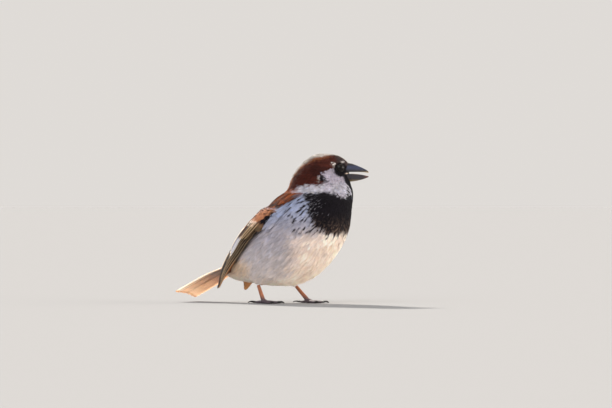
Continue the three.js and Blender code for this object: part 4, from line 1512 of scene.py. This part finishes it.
# %% The colours of a vane
def edged(centre, outer, inner, tip=None, edge_from=0.62):
    """The look of a feather with a dark middle, pale edges and tip, and a dark shaft."""

    def look(t, across):
        tone = centre * (0.85 + 0.3 * t)
        share = float(smooth(np.float64(abs(across)), edge_from, min(edge_from + 0.25, 1.0)))
        tone = tone + ((outer if across > 0 else inner) - tone) * share
        if tip is not None:
            tone = tone + (tip - tone) * float(smooth(np.float64(t), 0.9, 0.97))
        return np.clip(tone * (0.7 if across == 0 else 1), 0, 1)

    return look


# %% [markdown]
# ## The wings
# The layers of a folded wing overlap like tiles: long primaries lowest, then the secondaries and the broad
# tertials, and over these the small feathers of the alula and the row of greater coverts. Only the outer
# web of each feather shows past its neighbour, so the wing is striped with their pale edges. The flank
# feathers hide the wing's lower edge, so `tuck` squeezes all places across the wing up from it.

# %% A feather on the wing
TUCK = 0.14
WING_VANE_THICK = 0.07


def tuck(over):
    """A place across the wing, squeezed up from the lower edge that the flank feathers hide."""
    return TUCK + (1 - TUCK) * over


def wing_vane(sign, start, end, height, wide_out, wide_in, looks, tilt=-0.09, tip_round=0.3, splits=2):
    """A vane over the wing from one place to another, given as places along and across it."""
    at = VANE_AT
    along_wing = start[0] + (end[0] - start[0]) * at
    over = tuck(start[1] + (end[1] - start[1]) * at)
    points, up = wing_frame(sign, along_wing, over)
    way = unit(np.gradient(points, axis=0))
    side = unit(np.cross(way, up)) * sign
    up = unit(up + side * tilt)
    side = unit(side - up * np.sum(side * up, 1, keepdims=True))
    path = points + up * (np.interp(at, [0, 0.25], [height - 0.25, height]) * MM)[:, None]
    return vane(path, side, up, wide_out, wide_in, WING_VANE_THICK, tip_round, *looks, splits=splits)


# %% Looks of the wing feathers
QUILL_DARK, QUILL_EDGE, QUILL_TIP = paint("1b1311"), paint("f0cca4"), paint("3c2c22")
QUILL_UNDER, QUILL_UNDER_EDGE = paint("c68e60"), paint("dcb68e")
COVERT_BLACK, COVERT_EDGE, RUFOUS_EDGE = paint("221a1c"), paint("d0ac84"), paint("d0a47c")
# The tertials' pale blue-grey is a painted reflection of the sky; their white and buff edges are real.
SECONDARY_GREY, TERTIAL_SKY_REFLECTION, TERTIAL_EDGE = paint("2a2426"), paint("8e8e9a"), paint("f6e2cc")
under = edged(QUILL_UNDER, QUILL_UNDER_EDGE, QUILL_UNDER_EDGE)
primary = edged(QUILL_DARK, QUILL_EDGE, QUILL_DARK, QUILL_TIP, 0.68)
last_primary = edged(QUILL_DARK, QUILL_EDGE, QUILL_EDGE, QUILL_TIP, 0.64)
secondary = edged(SECONDARY_GREY, TERTIAL_EDGE, SECONDARY_GREY, QUILL_TIP, 0.66)
# Painted reflection: the two inner tertials are pale blue-grey, with a darker inner web.
tertial_with_reflection = edged(TERTIAL_SKY_REFLECTION, WHITE, TERTIAL_SKY_REFLECTION * 0.6, TERTIAL_EDGE, 0.6)
outer_tertial = edged(COVERT_BLACK * 1.6, TERTIAL_EDGE, TERTIAL_EDGE, TERTIAL_EDGE, 0.5)
alula = edged(COVERT_BLACK, COVERT_EDGE * 0.6, COVERT_BLACK, None, 0.5)
tan = edged(COVERT_BLACK, COVERT_EDGE, COVERT_EDGE, COVERT_EDGE, 0.4)
dark = edged(COVERT_BLACK, COVERT_EDGE, COVERT_BLACK, None, 0.75)
rufous = edged(COVERT_BLACK, RUFOUS_EDGE, RUFOUS_EDGE, TERTIAL_EDGE, 0.4)

# %% The body of the wing
CORE_INSETS = (0.75, 0.45, 0.3)


def dress_core(side, sign):
    """The wing's own solids, thinned and tucked, which show only between its feathers."""
    layers = [twin(f"core_{node}", node) for node in wing_nodes[side]]
    for layer, inset in zip(layers, CORE_INSETS):
        in_edit(layer, bpy.ops.transform.shrink_fatten, value=-inset * MM)
    core = join(f"wing_core_{side}", layers)
    at, over, _ = wing_place(corners(core))
    sheet, out = wing_frame(sign, at, over)
    tucked = wing_frame(sign, at, tuck(over))[0]
    move_corners(core, corners(core) + tucked - sheet - out * 0.25 * MM)
    free_end = smooth(at, 0.62, 0.7)
    set_colours(core, lay(np.repeat(COVERT_BLACK[None] * 1.3, len(free_end), 0), QUILL_UNDER, free_end))
    core.data.materials.append(SKIN_FINISH)
    ride(core, "wing_plumage", *wing_nodes[side])


# %% Primaries, secondaries and tertials
PRIMARIES, SECONDARIES, TERTIALS = 6, 4, 4
INNER_WEB = 2.8
TIP_FORM = {"right": (1.4, 0.12), "left": (2.8, 0.45)}


def flight_feathers(side, sign):
    """The vanes of one wing's long feathers, from the lowest to the highest."""
    vanes = []
    tip_width, tip_round = TIP_FORM[side]
    for i in range(PRIMARIES):
        start, end = (0.34, -0.05 + 0.088 * i), (1.0 - 0.03 * i, 0.14 + 0.144 * i)
        looks = (primary if i < PRIMARIES - 1 else last_primary), under
        shape = {"tip_round": tip_round, "splits": 1}
        vanes.append(wing_vane(sign, start, end, 0.4 + 0.047 * i, tip_width, INNER_WEB, looks, **shape))
    for i in range(SECONDARIES):
        over = 0.43 + 0.105 * i
        start, end = (0.30, over), (0.70 - 0.024 * i, over + 0.05)
        shape = {"tip_round": 0.16, "splits": 1}
        looks = secondary, under
        vanes.append(wing_vane(sign, start, end, 0.68 + 0.04 * i, 1.5, INNER_WEB, looks, **shape))
    for i in range(TERTIALS):
        over = 0.36 + 0.14 * i
        start, end = (0.28, over), (0.64 - 0.03 * i, over + 0.02)
        looks = (tertial_with_reflection if i < 2 else outer_tertial), under
        vanes.append(wing_vane(sign, start, end, 0.86 + 0.07 * i, 1.8, INNER_WEB, looks, tilt=-0.05))
    return vanes


# %% Alula and greater coverts
ALULA_FEATHERS = 4
GREATER_COVERTS = (tan, tan, tan, dark, dark, rufous, rufous)


def covert_feathers(sign):
    """The vanes of one wing's alula and greater coverts."""
    vanes = []
    for i in range(ALULA_FEATHERS):
        start, end = (0.27, -0.05 + 0.06 * i), (0.46 - 0.03 * i, -0.03 + 0.06 * i)
        vanes.append(wing_vane(sign, start, end, 0.6 + 0.07 * i, 0.8, 1.6, (alula, under)))
    for i, look in enumerate(GREATER_COVERTS):
        start, end = (0.18, 0.06 + 0.13 * i), (0.4 + 0.01 * i, 0.08 + 0.13 * i)
        vanes.append(wing_vane(sign, start, end, 1.05, 1.7, 1.9, (look, under), splits=0))
    return vanes


# %% Dress both wings
for side, sign in SIDES.items():
    dress_core(side, sign)
    ride(bundle(f"quills_{side}", flight_feathers(side, sign), 5), "wing_plumage")
    ride(bundle(f"coverts_{side}", covert_feathers(sign), 4), "wing_plumage")


# %% [markdown]
# ## The tail
# Twelve feathers fan out a little from the rump. The middle pair lies on top, and each one beside it is
# tucked under its neighbour. Seen from below they are paler and pinkish, as light shines through them.

# %% Sizes and looks of the tail
TAIL_RIGHT = np.array([[-28.0, -5.0, 24.2], [-46.0, -8.4, 16.4], [-64.6, -11.0, 6.4]])
TAIL_LEFT = np.array([[-28.0, 5.0, 20.6], [-46.0, 8.4, 10.4], [-63.2, 11.0, 2.4]])
TAIL_ARCH = -0.6
TAIL_FEATHERS = 12
TAIL_MIDDLE = (TAIL_FEATHERS - 1) / 2
TAIL_INNER_WEB, TAIL_VANE_THICK, TAIL_TIP_ROUND = 1.15, 0.04, 0.08
TAIL_REACH = [0.985, 0.99, 0.97, 0.955, 0.965, 0.945, 0.95, 0.965, 0.95, 0.97, 0.985, 0.98]
TAIL_TOP, TAIL_TOP_EDGE = paint("4c3b2e"), paint("a88c70")
TAIL_UNDER, TAIL_UNDER_EDGE = paint("d8a998"), paint("8c5c40")
TAIL_UNDER_GREY = paint("d2c2bc")
top_look = edged(TAIL_TOP, TAIL_TOP_EDGE, TAIL_TOP, TAIL_TOP_EDGE, 0.6)
under_look = edged(TAIL_UNDER, TAIL_UNDER_EDGE, TAIL_UNDER_EDGE, TAIL_UNDER_EDGE, 0.7)
# The outermost feathers' pale outer web is real buff, painted white as the sunlit edge along the tail's top.
outer_look_sunlit_edge = edged(TAIL_UNDER_GREY, WHITE, TAIL_UNDER_EDGE, TAIL_UNDER_EDGE, 0.3)

# %% The tail's feathers
def tail_vane(i):
    """One feather of the tail, counted from the right."""
    at = VANE_AT
    spread_by = np.interp(at, [0, 0.4, 1], [0.6, 0.86, 0.92])
    across_at = 0.5 + ((i + 0.5) / TAIL_FEATHERS - 0.5) * spread_by
    right, left = curve(TAIL_RIGHT, at * TAIL_REACH[i]), curve(TAIL_LEFT, at * TAIL_REACH[i])
    points = right * (1 - across_at[:, None]) + left * across_at[:, None]
    way, chord = unit(np.gradient(points, axis=0)), unit(left - right)
    up = unit(np.cross(way, chord))
    up = up * np.sign(up[:, 2:])
    from_middle = abs(i - TAIL_MIDDLE) / TAIL_MIDDLE
    arch = TAIL_ARCH * (1 - (2 * across_at - 1) ** 2) + 0.7 * (1 - from_middle)
    path = (points + up * arch[:, None] + lists_shift) * MM
    outer_side = np.sign(i - TAIL_MIDDLE)
    ups = unit(up - chord * 0.03 * outer_side)
    sides = unit(chord - ups * np.sum(chord * ups, 1, keepdims=True)) * outer_side
    # The two feathers on the right take the painted sunlit edge below.
    below = outer_look_sunlit_edge if i < 2 else under_look
    outer_web = 1.9 if i in (0, TAIL_FEATHERS - 1) else 0.9
    webs = outer_web, TAIL_INNER_WEB
    return vane(path, sides, ups, *webs, TAIL_VANE_THICK, TAIL_TIP_ROUND, top_look, below)


vanes = [tail_vane(i) for i in range(TAIL_FEATHERS)]
tail = bundle("tail_feathers", vanes, 4)
tail.data.materials.clear()
tail.data.materials.append(THIN)
ride(tail, "tail_plumage", "tail")

# %% [markdown]
# ## Floor, light and camera
# The bird stands on a plain pale floor, as bright as the room round it. A sun stands behind the bird and
# above its back, so that its light runs along the crown, the back and the top of the tail. Two wide soft
# suns fill the side that the camera sees, a cool one from the sky and a warm one from low ahead. A small
# warm lamp near the floor lights the breast and the belly from below, as a reflector would. The camera
# doesn't see it.

# %% The floor
bpy.ops.mesh.primitive_circle_add(vertices=96, radius=60, fill_type="NGON", location=(0, 0, -0.02 * MM))
floor = bpy.context.object
floor.name = floor.data.name = "floor"
settle(floor)
FLOOR, shader = principled("Pale floor", (0.312, 0.312, 0.318), 0.9)
shader.inputs["Specular IOR Level"].default_value = 0.0
floor.data.materials.append(FLOOR)
floor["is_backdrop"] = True

# %% The lights
VIEW_ANGLE = math.radians(30)
toward_camera = Vector((math.sin(VIEW_ANGLE), -math.cos(VIEW_ANGLE), 0))
to_the_right = Vector((math.cos(VIEW_ANGLE), math.sin(VIEW_ANGLE), 0))
upwards = Vector((0, 0, 1))
AIM_ACROSS, AIM_UP = 22.9, 59.4
CAMERA_AWAY, SUN_AWAY = 2.04, 1.5
REFLECTOR_POWER = 0.024
aim = to_the_right * AIM_ACROSS * MM + upwards * AIM_UP * MM


def sun(name, way, soft_angle, strength, colour):
    """A sun that stands this way from the bird, as wide as its angle in degrees."""
    data = bpy.data.lights.new(name, "SUN")
    data.angle, data.energy, data.color = math.radians(soft_angle), strength, colour
    light = bpy.data.objects.new(name, data)
    bpy.context.scene.collection.objects.link(light)
    light.location = aim + way.normalized() * SUN_AWAY
    light.rotation_euler = (-way).to_track_quat("-Z", "Y").to_euler()


sun("sun", -toward_camera * 1.0 - to_the_right * 0.5 + upwards * 0.95, 6, 6.0, (1.0, 0.94, 0.85))
sun("sky", toward_camera * 0.9 - to_the_right * 0.5 + upwards * 0.8, 50, 1.2, (0.9, 0.94, 1.0))
sun("bounce", toward_camera * 0.2 + to_the_right * 1.0 + upwards * 0.04, 60, 4.0, (1.0, 0.93, 0.84))

reflector = bpy.data.lights.new("reflector", "AREA")
reflector.size, reflector.energy, reflector.color = 0.14, REFLECTOR_POWER, (1.0, 0.9, 0.8)
reflector_lamp = bpy.data.objects.new("reflector", reflector)
bpy.context.scene.collection.objects.link(reflector_lamp)
reflector_lamp.location = (toward_camera * 75 + to_the_right * 70 + upwards) * MM
reflector_lamp.rotation_euler = (math.pi, 0, VIEW_ANGLE)
reflector_lamp.visible_camera = False

# %% The room
world = bpy.data.worlds.new("Pale room")
world.use_nodes = True
world.node_tree.nodes["Background"].inputs["Color"].default_value = (0.74, 0.71, 0.68, 1)
world.node_tree.nodes["Background"].inputs["Strength"].default_value = 1.0
bpy.context.scene.world = world
bpy.context.scene.view_settings.view_transform = "Standard"

# %% The camera
camera_data = bpy.data.cameras.new("camera")
camera_data.sensor_width, camera_data.lens = 36, 200
camera_data.clip_start, camera_data.clip_end = 0.05, 100
camera = bpy.data.objects.new("camera", camera_data)
bpy.context.scene.collection.objects.link(camera)
camera.location = aim + toward_camera * CAMERA_AWAY
camera.rotation_euler = (-toward_camera).to_track_quat("-Z", "Y").to_euler()
bpy.context.scene.camera = camera
print("the camera stands", CAMERA_AWAY, "m away and", round(camera.location.z / MM, 1), "mm high")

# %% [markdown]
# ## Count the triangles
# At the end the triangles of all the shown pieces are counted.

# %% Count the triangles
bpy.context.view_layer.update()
total = sum(triangles(p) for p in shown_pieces())
print("the whole model has", total, "triangles")
